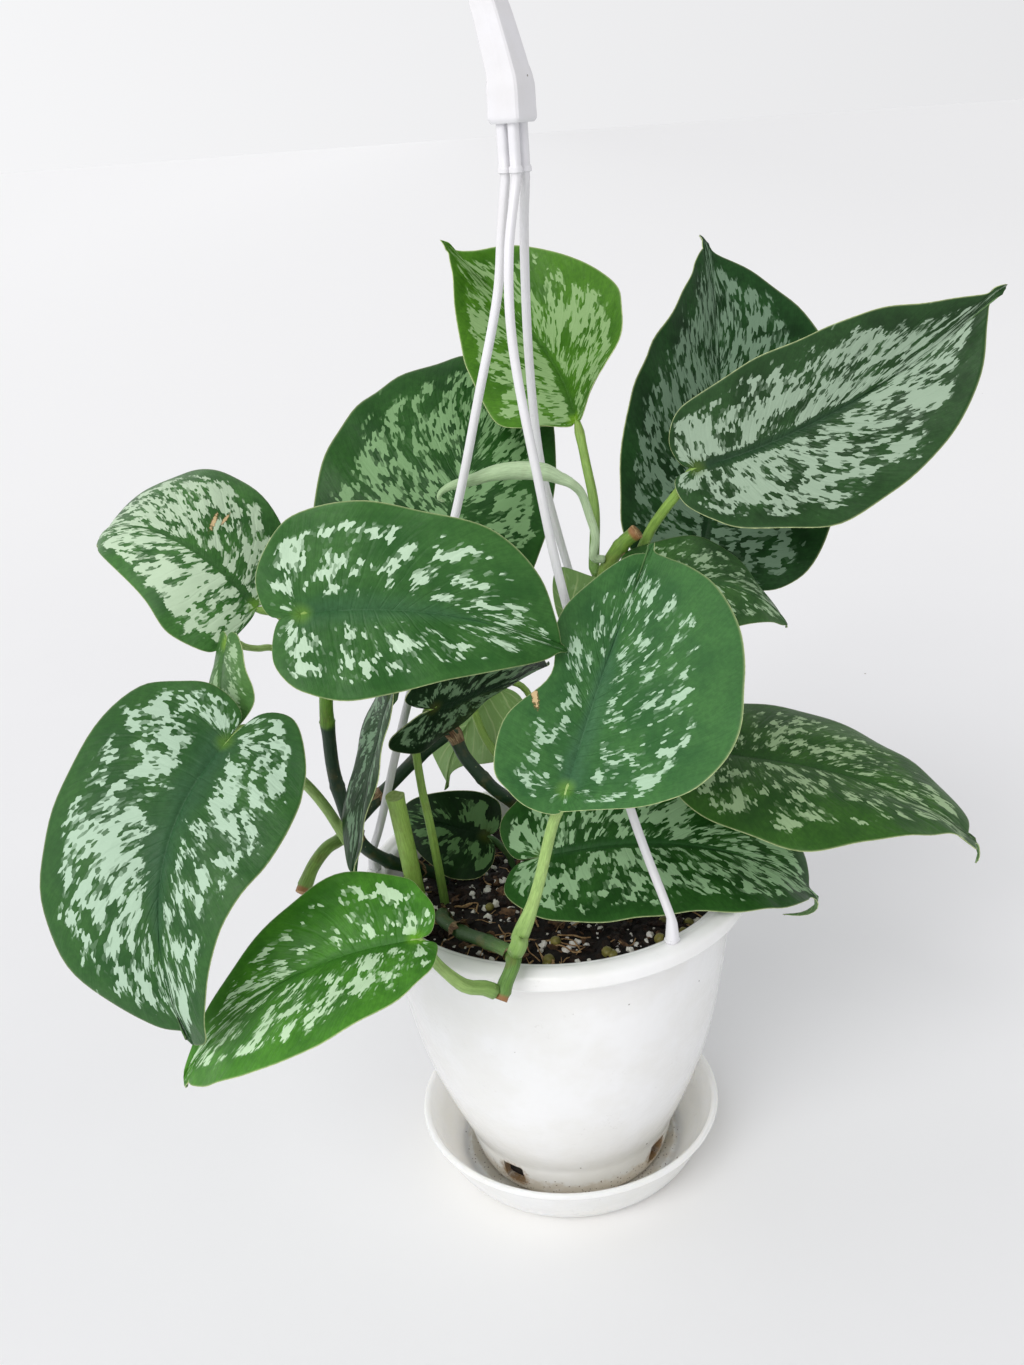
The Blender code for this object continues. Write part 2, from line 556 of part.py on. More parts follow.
def half_outline(leaf, side):
    """The control points of one half of a blade's outline, in shares of its length."""
    pts = np.array(HALF_OUTLINE, float)
    behind = pts[:, 1] < 0
    pts[behind, 1] *= leaf.lobe
    peak, full = leaf.shape[side], leaf.shape[2 + side]
    pts[4:10, 1] += peak * np.array((.6, 1, 1, .8, .5, .2))
    pts[6:10, 0] *= 1 + full * np.array((.25, .7, 1, .8))
    pts[:, 0] *= leaf.right if side else leaf.left
    tip = [(0.016, 1.0 + 0.25 * leaf.drip), (0.008, 1.0 + 0.65 * leaf.drip), (0.0, 1.0 + leaf.drip)]
    return trimmed(np.vstack([pts, tip]), OUTLINE_TRIMS.get(leaf.name, ((), ()))[side])


def trimmed(points, percent):
    """An outline's points with those after the first moved outwards along its normals."""
    if not percent:
        return points
    run = np.gradient(points, axis=0)
    outwards = np.stack([run[:, 1], -run[:, 0]], axis=1)
    outwards /= np.linalg.norm(outwards, axis=1)[:, None]
    moved = points.copy()
    moved[1:len(percent) + 1] += outwards[1:len(percent) + 1] * np.array(percent)[:, None] / 100
    moved[:, 0] = np.maximum(moved[:, 0], LEAST_NOTCH * points[:, 0])
    return moved


def along_outline(points, share):
    """The outline's smooth curve at shares of its way from the notch to the tip."""
    ends = np.vstack([2 * points[0] - points[1], points, 2 * points[-1] - points[-2]])
    place = np.clip(share, 0, 1) * (len(points) - 1)
    k = np.minimum(place.astype(int), len(points) - 2)
    f = (place - k)[:, None]
    a, b, c, d = (ends[k + n] for n in range(4))
    return 0.5 * (2 * b + (c - a) * f + (2 * a - 5 * b + 4 * c - d) * f * f
                  + (3 * b - a - 3 * c + d) * f ** 3)


def row_shares(rows):
    """Where the rows of a blade meet its outline: even, then closer in the drip tip."""
    last = len(HALF_OUTLINE) - 1
    total = last + 3
    body = np.linspace(0.6, last, rows - TIP_ROWS)
    tip = np.linspace(last, total, TIP_ROWS + 1)[1:]
    return np.concatenate([body, tip]) / total


class Blade:
    """The bent middle surface of one leaf's blade."""

    def __init__(self, leaf, steps=60):
        self.leaf = leaf
        heading, rise, roll = (math.radians(v) for v in (leaf.heading, leaf.rise, leaf.roll))
        ahead = np.array((math.cos(rise) * math.cos(heading), math.cos(rise) * math.sin(heading),
                          math.sin(rise)))
        up = np.array((-math.sin(rise) * math.cos(heading), -math.sin(rise) * math.sin(heading),
                       math.cos(rise)))
        side = np.cross(ahead, up)
        up, side = (up * math.cos(roll) + side * math.sin(roll),
                    side * math.cos(roll) - up * math.sin(roll))
        self.ahead, self.up = ahead, up
        s = np.linspace(0, 1 + leaf.drip, steps)
        over = np.clip((s - 1) / max(leaf.drip, 1e-6), 0, 1)
        bend = math.radians(leaf.arch) * np.minimum(s, 1) ** 1.4 + math.radians(leaf.hook) * over
        turn = math.radians(leaf.sweep) * s
        tangent = ((np.cos(bend) * np.cos(turn))[:, None] * ahead
                   + (np.cos(bend) * np.sin(turn))[:, None] * side - np.sin(bend)[:, None] * up)
        middle = (tangent[1:] + tangent[:-1]) / 2 * np.diff(s)[:, None]
        self.line = np.vstack([np.zeros(3), np.cumsum(middle, axis=0)])
        normal = np.sin(bend)[:, None] * ahead + np.cos(bend)[:, None] * up
        across = np.cross(tangent, normal)
        across /= np.linalg.norm(across, axis=1)[:, None]
        normal = np.cross(across, tangent)
        twist = (math.radians(leaf.twist) * s)[:, None]
        self.normal = normal * np.cos(twist) + across * np.sin(twist)
        self.across = np.cross(tangent, self.normal)
        self.shares = s

    def read(self, values, s):
        """One of the curves along the midrib, at shares s."""
        place = np.clip(s, 0, self.shares[-1]) / self.shares[-1] * (len(self.shares) - 1)
        k = np.minimum(place.astype(int), len(self.shares) - 2)
        f = (place - k)[..., None]
        return values[k] * (1 - f) + values[k + 1] * f

    def point(self, x, y, side):
        """The place, in millimetres, of flat blade coordinates on one side."""
        leaf = self.leaf
        width = leaf.right if side else leaf.left
        fold, curl = math.radians(leaf.fold), math.radians(leaf.curl) / width
        if abs(curl) < 1e-3:
            out, lift = np.cos(fold) * x, np.sin(fold) * x
        else:
            out = (np.sin(fold + curl * x) - math.sin(fold)) / curl
            lift = (math.cos(fold) - np.cos(fold + curl * x)) / curl
        sign = 1 if side else -1
        base = self.read(self.line, y) + np.minimum(y, 0)[..., None] * self.ahead
        flat = base + sign * out[..., None] * self.read(self.across, y)
        flat = flat + lift[..., None] * self.read(self.normal, y)
        return np.array(leaf.base) + leaf.length * flat

    def half(self, side, rows, columns):
        """The grid of points on one half, rows from the notch to the tip."""
        leaf = self.leaf
        share = row_shares(rows)
        edge = along_outline(half_outline(leaf, side), share)
        rib = np.clip((share - VEIN_START * 0.8) / (1 - VEIN_START * 0.8), 0, 1) ** VEIN_POWER
        rib = np.minimum(rib * (1 + leaf.drip), np.maximum(edge[:, 1] - 0.004, 0))
        rib = np.maximum.accumulate(rib)
        t = np.linspace(0, 1, columns + 1)
        x = edge[:, :1] * t
        y = rib[:, None] * (1 - t) + edge[:, 1:] * t
        return self.point(x, y, side), rib


def blade_mesh(leaf):
    """Points and triangles of a closed thin blade, split alike on both faces."""
    blade, rows, columns = Blade(leaf), BLADE_ROWS, leaf.columns
    left, rib = blade.half(0, rows, columns)
    right, _ = blade.half(1, rows, columns)
    points, index, normals, thick = [], {}, [], []

    def vertex(side, i, j):
        if j == 0:
            key = ("rib", round(float(rib[i]), 5))
        elif i == rows - 1:
            key = ("tip", j)
        else:
            key = (side, i, j)
        if key not in index:
            grid = (left, right)[side]
            index[key] = len(points)
            points.append(grid[i, j])
            share = j / columns
            mid = BLADE_MIDRIB + (BLADE_EDGE - BLADE_MIDRIB) * min(1.0, rib[i])
            thick.append(mid if j == 0 else BLADE_EDGE + (1 - share) * 0.1)
        return index[key]

    top = []
    for side in (0, 1):
        for i in range(rows - 1):
            for j in range(columns):
                a, b = vertex(side, i, j), vertex(side, i, j + 1)
                c, d = vertex(side, i + 1, j + 1), vertex(side, i + 1, j)
                for corner in ((a, b, c), (a, c, d)):
                    if len(set(corner)) == 3:
                        top.append(corner if side else corner[::-1])
    points = np.array(points)
    normals = np.zeros_like(points)
    for a, b, c in top:
        n = np.cross(points[b] - points[a], points[c] - points[a])
        for k in (a, b, c):
            normals[k] += n
    normals /= np.linalg.norm(normals, axis=1)[:, None]
    if np.dot(normals[0], blade.up) < 0:
        normals = -normals
    half = np.array(thick)[:, None] / 2
    count = len(points)
    both = np.vstack([points + normals * half, points - normals * half])
    faces = list(top) + [(a + count, c + count, b + count) for a, b, c in top]
    edges = {}
    for a, b, c in top:
        for e in ((a, b), (b, c), (c, a)):
            edges[e] = edges.get(e, 0) + 1
    for a, b in edges:
        if (b, a) not in edges:
            faces += [(b, a, a + count), (b, a + count, b + count)]
    return both, faces, blade


def stem_point(name, share):
    """A point on a stem's centre line, the direction there and the stem's radius."""
    stem = next(s for s in STEMS if s.name == name)
    path = smooth(stem.points, 3.0)
    lengths = np.concatenate([[0], np.cumsum(np.linalg.norm(np.diff(path, axis=0), axis=1))])
    at = share * lengths[-1]
    place = np.array([np.interp(at, lengths, path[:, k]) for k in range(3)])
    ahead = np.array([np.interp(at + 1, lengths, path[:, k]) for k in range(3)])
    behind = np.array([np.interp(at - 1, lengths, path[:, k]) for k in range(3)])
    return place, (ahead - behind) / np.linalg.norm(ahead - behind), stem.radius


def seated(points, stem, share):
    """The points of a stalk with two more that bring its end square to the stem's side."""
    place, along, radius = stem_point(stem, share)
    away = np.array(points[-1], float) - place
    away = away - along * np.dot(away, along)
    away /= np.linalg.norm(away)
    return [*points, place + away * (radius + SEAT_RUN), place + away * (radius + GAP + 0.1)]


def stalk_path(leaf, blade):
    """A stalk's centre line, from its seat on the stem or in the soil to the blade."""
    base = np.array(leaf.base, float)
    under = base - blade.up * 0.9
    tip = under + blade.ahead * STALK_OVERLAP
    points = [tip, under - blade.ahead * 1.0, *[np.array(p, float) for p in leaf.stalk]]
    if leaf.seat != "soil":
        points = seated(points, leaf.seat, leaf.seat_share)
    return smooth(points[::-1], 11.0)


def make_leaf(leaf):
    """A leaf: the blade with its stalk fused to the underside."""
    points, faces, blade = blade_mesh(leaf)
    thing = solid(leaf.name, points, faces, leaf.colour, 0.45)
    path = stalk_path(leaf, blade)
    radii = leaf.stalk_radius * np.linspace(1.0, STALK_TIP_SHARE, len(path))
    radii[-1] *= 0.5
    join(thing, solid("stalk", *tube_mesh(path, radii, STALK_SIDES), leaf.colour, 0.45))
    return thing


def make_stem(stem):
    """A stem as a round tube."""
    path = smooth(stem.points, 10.0)
    return solid(stem.name, *tube_mesh(path, stem.radius, STEM_SIDES), stem.colour, 0.5)


def make_new_leaf():
    """The youngest leaf, still a tight pale roll, on its own stalk."""
    points = seated([np.array(p, float) for p in NEW_LEAF_POINTS], *NEW_LEAF_SEAT)
    path = smooth(points, 5.0)
    lengths = np.concatenate([[0], np.cumsum(np.linalg.norm(np.diff(path, axis=0), axis=1))])
    marks = [lengths[np.argmin(np.linalg.norm(path - p, axis=1))] for p in points]
    radii = np.interp(lengths, marks, (*NEW_LEAF_RADII, *NEW_LEAF_RADII[-1:] * 2))
    return solid("new_leaf", *tube_mesh(path, radii, 8), PALE_GREEN, 0.5)


def make_cut_stalk():
    """A stalk cut off square, standing in the soil."""
    path = smooth(CUT_STALK_POINTS, 9.0)
    return solid("cut_stalk", *tube_mesh(path, CUT_STALK_RADIUS, 10), BRIGHT_GREEN, 0.5)


def main():
    """Builds every piece."""
    clear_scene()
    make_saucer()
    make_pot()
    make_soil()
    for rod in RODS:
        make_rod(rod)
    make_head()
    for stem in STEMS:
        make_stem(stem)
    for leaf in LEAVES:
        make_leaf(leaf)
    make_new_leaf()
    make_cut_stalk()


main()
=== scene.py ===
"""Looks of the satin pothos: leaves, stems, potting mix, pot, saucer, hanger and studio.

Lengths in the tables are millimetres and angles are degrees, in the frame of the solid
model: the pot's axis is the Z axis and the saucer stands on Z = 0.
"""

import logging
import math
from dataclasses import dataclass, field, replace
from enum import Enum
from typing import Any, Callable, Iterable, Mapping, Sequence

import bmesh
import bpy
import numpy as np
from mathutils import Matrix, Vector

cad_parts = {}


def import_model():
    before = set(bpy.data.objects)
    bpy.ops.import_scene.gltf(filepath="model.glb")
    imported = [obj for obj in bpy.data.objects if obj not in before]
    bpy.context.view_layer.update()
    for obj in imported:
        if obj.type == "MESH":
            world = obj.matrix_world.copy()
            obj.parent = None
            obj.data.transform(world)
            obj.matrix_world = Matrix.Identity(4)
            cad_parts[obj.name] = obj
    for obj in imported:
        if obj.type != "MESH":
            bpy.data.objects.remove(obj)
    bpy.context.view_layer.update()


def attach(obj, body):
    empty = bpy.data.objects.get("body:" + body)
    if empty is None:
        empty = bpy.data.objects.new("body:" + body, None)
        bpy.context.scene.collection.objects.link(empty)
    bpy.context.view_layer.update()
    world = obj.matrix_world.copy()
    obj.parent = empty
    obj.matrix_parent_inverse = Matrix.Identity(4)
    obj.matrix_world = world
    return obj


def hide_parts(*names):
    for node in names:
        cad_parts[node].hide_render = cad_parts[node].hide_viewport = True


MM = 0.001
BODY = "root"
ORIGIN = (0.0, 0.0, 0.0)
UP = (0.0, 1.0, 0.2)             # what the sections of rods and stems are turned by
log = logging.getLogger("satin_pothos")

Place = tuple[float, float, float]
Colour = tuple[float, float, float]
Dent = tuple[int, float, float, float]
Array = np.ndarray
Piece = bpy.types.Object
Socket = bpy.types.NodeSocket
Material = bpy.types.Material
Tree = bpy.types.NodeTree


def shade(red: int, green: int, blue: int) -> Colour:
    """A linear colour from display values of 0 to 255."""
    def linear(value: float) -> float:
        """One channel."""
        value /= 255
        return value / 12.92 if value <= 0.04045 else ((value + 0.055) / 1.055) ** 2.4
    return linear(red), linear(green), linear(blue)


def dim(colour: Colour, factor: float) -> Colour:
    """A colour with each channel times a factor."""
    return tuple(factor * c for c in colour)


# Curves and grids

def unit(way: Array) -> Array:
    """A direction brought to length 1."""
    return way / np.linalg.norm(way)


def level(angle: float) -> tuple[Array, Array]:
    """The level direction at an angle from +X and the level one square to it."""
    return (np.array((math.cos(angle), math.sin(angle), 0.0)),
        np.array((-math.sin(angle), math.cos(angle), 0.0)))


def full_turn(count: int) -> Array:
    """Angles spread evenly over a full turn."""
    return 2 * math.pi * np.arange(count) / count


def turn_from(angle: Array, centre: float) -> Array:
    """Angles measured from centre, within half a turn either way."""
    return np.angle(np.exp(1j * (angle - centre)))


def hump(value: Array, width: float) -> Array:
    """A bell curve of height 1 about 0."""
    return np.exp(-((value / width) ** 2))


def spread(columns: Array, rows: Array) -> Array:
    """A surface map with one value for each column and one for each row."""
    return np.stack(np.broadcast_arrays(columns[None, :], rows[:, None]), -1)


def between(a: Array, b: Array, c: Array, d: Array, f: Any) -> Array:
    """The place a share f of the way from b to c on a smooth curve through all four."""
    return 0.5 * (2 * b + (c - a) * f + (2 * a - 5 * b + 4 * c - d) * f * f + (3 * b - a - 3 * c + d)
        * f ** 3)


def smooth(points: Sequence[Place], step: float) -> Array:
    """Points about step apart on a smooth curve through the given ones.

    Args:
        points: the places that the curve goes through.
        step: the distance between the points of the result.

    Returns:
        The curve's points, one a row.
    """
    pts = np.asarray(points, float)
    ends = np.vstack([2 * pts[0] - pts[1], pts, 2 * pts[-1] - pts[-2]])
    out = [pts[0]]
    for a, b, c, d in zip(ends, ends[1:], ends[2:], ends[3:]):
        count = max(1, round(float(np.linalg.norm(c - b)) / step))
        for k in range(1, count + 1):
            f = k / count
            out.append(between(a, b, c, d, f))
    return np.array(out)


def lengths_along(path: Array) -> Array:
    """The distance of each point of a path from its start."""
    return np.concatenate([[0], np.cumsum(np.linalg.norm(np.diff(path, axis=0), axis=1))])


def frames(path: Array, up: Sequence[float] = UP) -> tuple[Array, ...]:
    """Directions along a path and two across it, turning as little as possible.

    Args:
        path: the points of the path.
        up: the direction that the first cross direction is square to.

    Returns:
        Tangents and the two cross directions, one a row.
    """
    tangents = np.gradient(path, axis=0)
    tangents /= np.linalg.norm(tangents, axis=1)[:, None]
    side = np.cross(tangents[0], up)
    sides = []
    for tangent in tangents:
        side = unit(side - tangent * np.dot(side, tangent))
        sides.append(side)
    across = np.array(sides)
    return tangents, across, np.cross(tangents, across)


class Draft:
    """Gathers grids of points with their surface places, then makes one object of them."""

    MAPS = ("vein", "place", "flat")

    def __init__(self) -> None:
        """Starts empty."""
        self.points: list[Array] = []
        self.faces: list[tuple[int, ...]] = []
        self.slots: list[int] = []
        self.corners: dict[str, list[tuple[float, float]]] = {name: [] for name in self.MAPS}
        self.count = 0

    def grid(self, points: Array, slot: int = 0, closed: bool = False, flip: bool = False,
            **maps: Array) -> None:
        """Adds a grid of quads.

        Args:
            points: rows by columns by 3, in millimetres.
            slot: the material slot of the faces.
            closed: joins the last column to the first; maps then have one column more.
            flip: turns the faces over.
            maps: for any of MAPS, rows by columns by 2.
        """
        rows, columns = points.shape[:2]
        base = self.count
        self.points.append(points.reshape(-1, 3))
        self.count += rows * columns
        blank = np.zeros((rows, columns + 1, 2))
        layers = {name: maps.get(name, blank) for name in self.MAPS}
        span = columns if closed else columns - 1
        for i in range(rows - 1):
            for j in range(span):
                n = (j + 1) % columns
                face = [base + i * columns + j, base + i * columns + n, base + (i + 1) * columns + n,
                    base + (i + 1) * columns + j]
                cells = [(i, j), (i, j + 1), (i + 1, j + 1), (i + 1, j)]
                if flip:
                    face.reverse()
                    cells.reverse()
                self.faces.append(tuple(face))
                self.slots.append(slot)
                for name, layer in layers.items():
                    self.corners[name].extend((layer[a][b][0], layer[a][b][1]) for a, b in cells)

    def soup(self, points: Array, faces: Iterable[Sequence[int]], slot: int = 0,
            place: tuple[float, float] = (0.0, 0.0)) -> None:
        """Adds loose faces that share one surface place, such as a chip or a cap.

        Args:
            points: the corner points, in millimetres.
            faces: corner numbers of each face.
            slot: the material slot.
            place: what the place map holds for all of them.
        """
        self.points.append(np.asarray(points, float))
        for face in faces:
            self.faces.append(tuple(self.count + int(k) for k in face))
            self.slots.append(slot)
            for name in self.MAPS:
                self.corners[name].extend([place if name == "place" else (0.0, 0.0)] * len(face))
        self.count += len(points)

    def make(self, name: str, materials: Sequence[Material], weld: float = 2e-6,
            crease: float | None = None) -> Piece:
        """The object with all that was added.

        Args:
            name: the object's name.
            materials: one for each slot.
            weld: points closer than this, in metres, become one; 0 keeps them all.
            crease: edges sharper than this angle stay sharp; None keeps every edge smooth.

        Returns:
            The new object, linked to the scene.
        """
        mesh = bpy.data.meshes.new(name)
        mesh.from_pydata((np.vstack(self.points) * MM).tolist(), [], self.faces)
        for layer in self.MAPS:
            values = np.asarray(self.corners[layer], np.float32).ravel()
            mesh.uv_layers.new(name=layer).data.foreach_set("uv", values)
        mesh.polygons.foreach_set("material_index", self.slots)
        work = bmesh.new()
        work.from_mesh(mesh)
        if weld:
            bmesh.ops.remove_doubles(work, verts=work.verts, dist=weld)
            bmesh.ops.dissolve_degenerate(work, edges=work.edges, dist=weld)
        work.to_mesh(mesh)
        work.free()
        mesh.shade_smooth()
        if crease is not None:
            mesh.set_sharp_from_angle(angle=math.radians(crease))
        thing = bpy.data.objects.new(name, mesh)
        bpy.context.scene.collection.objects.link(thing)
        for material in materials:
            mesh.materials.append(material)
        return thing


def sweep(draft: Draft, path: Array, radii: Any, sides: int = 14, slot: int = 0,
        shape: Callable[[Array, Array], Array] | None = None, caps: int | None = None,
        up: Sequence[float] = UP) -> None:
    """Adds a tube along a path, with places of (share around, millimetres along).

    Args:
        draft: what the tube is added to.
        path: the centre line.
        radii: one radius, or one for each point of the path.
        sides: how many points go round.
        slot: the material slot.
        shape: gives the factor on the radius from the angles and the shares along.
        caps: the material slot of the two ends, or None for open ends.
        up: see frames.
    """
    path = np.asarray(path, float)
    radii = np.broadcast_to(np.asarray(radii, float), (len(path),))
    _, across, rise = frames(path, up)
    turn = full_turn(sides)
    along = lengths_along(path)
    factor = np.ones((len(path), sides))
    if shape is not None:
        factor = shape(turn[None, :], (along / along[-1])[:, None]) * factor
    reach = radii[:, None] * factor
    rings = (path[:, None] + reach[..., None] * (np.cos(turn)[None, :, None] * across[:, None]
        + np.sin(turn)[None, :, None] * rise[:, None]))
    share = np.linspace(0, 1, sides + 1)
    place = spread(share, along)
    draft.grid(rings, slot, closed=True, flip=True, place=place)
    if caps is not None:
        for end, order in ((0, 1), (-1, -1)):
            ring = rings[end]
            centre = ring.mean(axis=0)
            fan = [(k, (k + 1) % sides, sides)[::order] for k in range(sides)]
            draft.soup(np.vstack([ring, centre]), fan, caps, (0.5, float(along[end])))


def turned(draft: Draft, profile: Sequence[tuple[float, float]], steps: int = 144, slot: int = 0,
        closed: bool = True) -> None:
    """Adds a profile of (radius, height) turned about Z, with places of (share around, height).

    Args:
        draft: what the turned shape is added to.
        profile: the outline, going up the outside and down the inside.
        steps: how many points go round.
        slot: the material slot.
        closed: joins the profile's end to its start.
    """
    outline = np.asarray(profile, float)
    if closed:
        outline = np.vstack([outline, outline[:1]])
    turn = full_turn(steps)
    rings = np.stack(np.broadcast_arrays(outline[:, :1] * np.cos(turn), outline[:, :1] * np.sin(turn),
        outline[:, 1:]), -1)
    share = np.linspace(0, 1, steps + 1)
    run = np.concatenate([[0], np.cumsum(np.linalg.norm(np.diff(outline, axis=0), axis=1))])
    place = spread(share, run)
    draft.grid(rings, slot, closed=True, place=place)


def rounded(profile: Sequence[tuple[float, float]], step: float) -> list[tuple[float, float]]:
    """A profile's points on a smooth curve about step apart."""
    curve = smooth([(r, z, 0.0) for r, z in profile], step)
    return [(float(r), float(z)) for r, z, _ in curve]


def place_piece(piece: Piece, slot: str, *nodes: str) -> Piece:
    """Lets a piece ride on the body and stand for the named nodes."""
    if nodes:
        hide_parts(*nodes)
    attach(piece, BODY)
    return piece


# Sizes shared with the solids

# Saucer and pot
SAUCER_BASE_RADIUS = 49.3
SAUCER_RIM_RADIUS = 63.1
SAUCER_HEIGHT = 23.6
SAUCER_WALL = 1.8
SAUCER_FLOOR = 2.2
POT_WALL = 2.0
POT_BASE = 2.5
FOOT_RADIUS = 40.5
FOOT_TOP_RADIUS = 44.2
FOOT_TOP = 18.5
BOWL_RADII = ((30.0, 49.1), (45.0, 54.8), (65.0, 60.8), (92.0, 65.8), (122.0, 69.6))
LIP_RADIUS = 77.5
LIP_TOP = 135.2
LIP_BOTTOM = 128.5
LIP_INNER_RADIUS = 68.1
NOTCH_WIDTH = 9.5
NOTCH_BOTTOM = 7.0
NOTCH_TOP = 16.5
NOTCH_ANGLES = (-127.0, -38.0, 52.0, 142.0)
NOTCH_REACH = 40.5             # from the axis to the middle of a notch's sides
SOIL_TOP = 122.0

# Hanger
ROD_RADIUS = 1.5
SLEEVE_RADIUS = 1.8
COLLAR_RADIUS = 2.2
CLIP_RADIUS = 2.4
ROD_FOOT_CIRCLE = 72.8
CLIP_LENGTH = 9.0
PEG_LENGTH = 5.0
SLEEVE_LENGTH = 14.0
SOCKET_DEPTH = 6.0
HEAD_BOTTOM = 411.0
HEAD_CENTRE = (1.5, -0.5)
HEAD_SIDE = 11.5
HOOK_RADIUS = 19.0
HOOK_PLANE = 35.0


@dataclass(frozen=True)
class RodSizes:
    """One rod of the hanger: its foot on the lip, its place in the head and its bow."""
    name: str
    foot_angle: float
    top: tuple[float, float]
    bow: tuple[Place, ...]


RODS = (
    RodSizes("hanger_rod_left", 176.0, (-2.1, -1.0), ((-67.5, 3.0, 159.3), (-59.5, 0.0, 186.4),
        (-50.3, -1.5, 215.3), (-28.0, -1.7, 282.0), (-16.5, -1.5, 323.0), (-7.6, -1.3, 356.0),
        (-4.6, -1.2, 377.0))),
    RodSizes("hanger_rod_front", -58.0, (1.5, -3.8), ((26.7, -46.0, 182.5), (9.4, -27.0, 252.0),
        (1.5, -20.0, 301.0), (-3.4, -13.5, 341.0), (-2.8, -9.0, 370.0))),
    RodSizes("hanger_rod_back", 62.0, (4.6, 1.4), ((22.5, 48.0, 205.0), (9.5, 34.0, 265.0),
        (4.4, 27.0, 295.0), (2.6, 19.0, 333.0), (3.2, 10.0, 373.0))),
)


@dataclass(frozen=True)
class StemSizes:
    """A stem: its centre line upwards, its radius, its nodes and its papery scraps.

    Nodes are millimetres from the stem's lower end. A scrap is the place of its foot in
    millimetres along the stem, its length, how far round it goes in degrees, the angle it
    starts at and how far its free edge stands off.
    """
    name: str
    points: tuple[Place, ...]
    radius: float
    nodes: tuple[float, ...] = ()
    scraps: tuple[tuple[float, float, float, float, float], ...] = ()


STEMS = (
    StemSizes("stem_over_rim", ((-44, -20, 111), (-44, -20, 119), (-44, -20.3, 126), (-44.8, -25, 131),
        (-44.5, -34, 134.3), (-37.3, -45, 135.3), (-26.7, -60, 139.5), (-18.6, -76, 143.5),
        (-22, -84, 137.7), (-24.1, -87, 133.8)), 2.5, (24.0, 45.0, 62.0, 83.0, 95.0),
        ((22.0, 7.0, 250.0, 20.0, 1.6), (40.0, 8.0, 220.0, 160.0, 2.2), (60.0, 5.0, 200.0, 60.0, 1.2),
        (80.0, 4.0, 180.0, 200.0, 0.9))),
    StemSizes("stem_middle", ((6, 6, 111), (6, 6, 119), (6, 6, 127), (0, 8, 142), (-13, 8, 158),
        (-23, 2, 171), (-32, 0, 185), (-36.5, 3, 194), (-43, 6, 190), (-53, 9, 181), (-61, 9, 173.5),
        (-72, 8, 163), (-83.2, 2.5, 153.5), (-89.3, -4, 152.4), (-94.2, -10, 148.6), (-97.4, -15, 143.7),
        (-99, -18, 141.1)), 2.6, (30.0, 52.0, 76.0, 97.0, 118.0, 140.0, 160.0, 188.0),
        ((94.0, 8.0, 220.0, 40.0, 1.5), (138.0, 6.0, 190.0, 0.0, 1.0))),
    StemSizes("stem_left", ((-47, 13, 111), (-47, 13, 119), (-47, 13, 126), (-54.4, 7, 133.2),
        (-64.1, -1, 141.8), (-68.9, -5, 147.2), (-73.4, -9, 153.8), (-77.5, -10, 161.8),
        (-79.7, -9, 170.6), (-82.3, -7, 186.1), (-82.7, -5, 200.8), (-82, -5, 215.6), (-78, -6, 240)),
        2.6, (27.0, 45.0, 66.0, 88.0, 114.0, 140.0), ((26.0, 8.0, 240.0, 100.0, 1.7),
        (64.0, 6.0, 210.0, 10.0, 1.2))),
    StemSizes("stem_right", ((14, 14, 111), (14, 14, 119), (14, 14, 127), (17, 16, 160), (20, 18, 200),
        (23, 19, 232), (27, 18, 251), (33, 16, 261), (38.7, 14, 266.5)), 2.7,
        (34.0, 62.0, 88.0, 108.0, 126.0, 141.0, 152.0, 162.0),
        ((30.0, 8.0, 240.0, 140.0, 1.5), (150.0, 5.0, 210.0, 120.0, 1.1))),
)


@dataclass(frozen=True)
class LeafSizes:
    """A heart-shaped leaf with its stalk.

    base is where the stalk meets the blade. heading is the midrib's direction seen from
    above, from +X towards +Y, rise its slope there and roll the blade's turn about it.
    Over the midrib's length the blade bends down by arch, sideways by sweep and turns by
    twist. fold lifts both halves, and curl bends them on towards the margin. Widths, lobe,
    drip and the shape values are shares of the length.
    """
    name: str
    base: Place
    heading: float
    rise: float
    roll: float
    length: float
    left: float
    right: float
    arch: float
    sweep: float
    fold: float
    curl: float
    twist: float
    lobe: float
    shape: tuple[float, float, float, float]
    stalk: tuple[Place, ...]
    seat: str
    seat_share: float = 1.0
    drip: float = 0.05
    hook: float = 30.0
    stalk_radius: float = 1.8


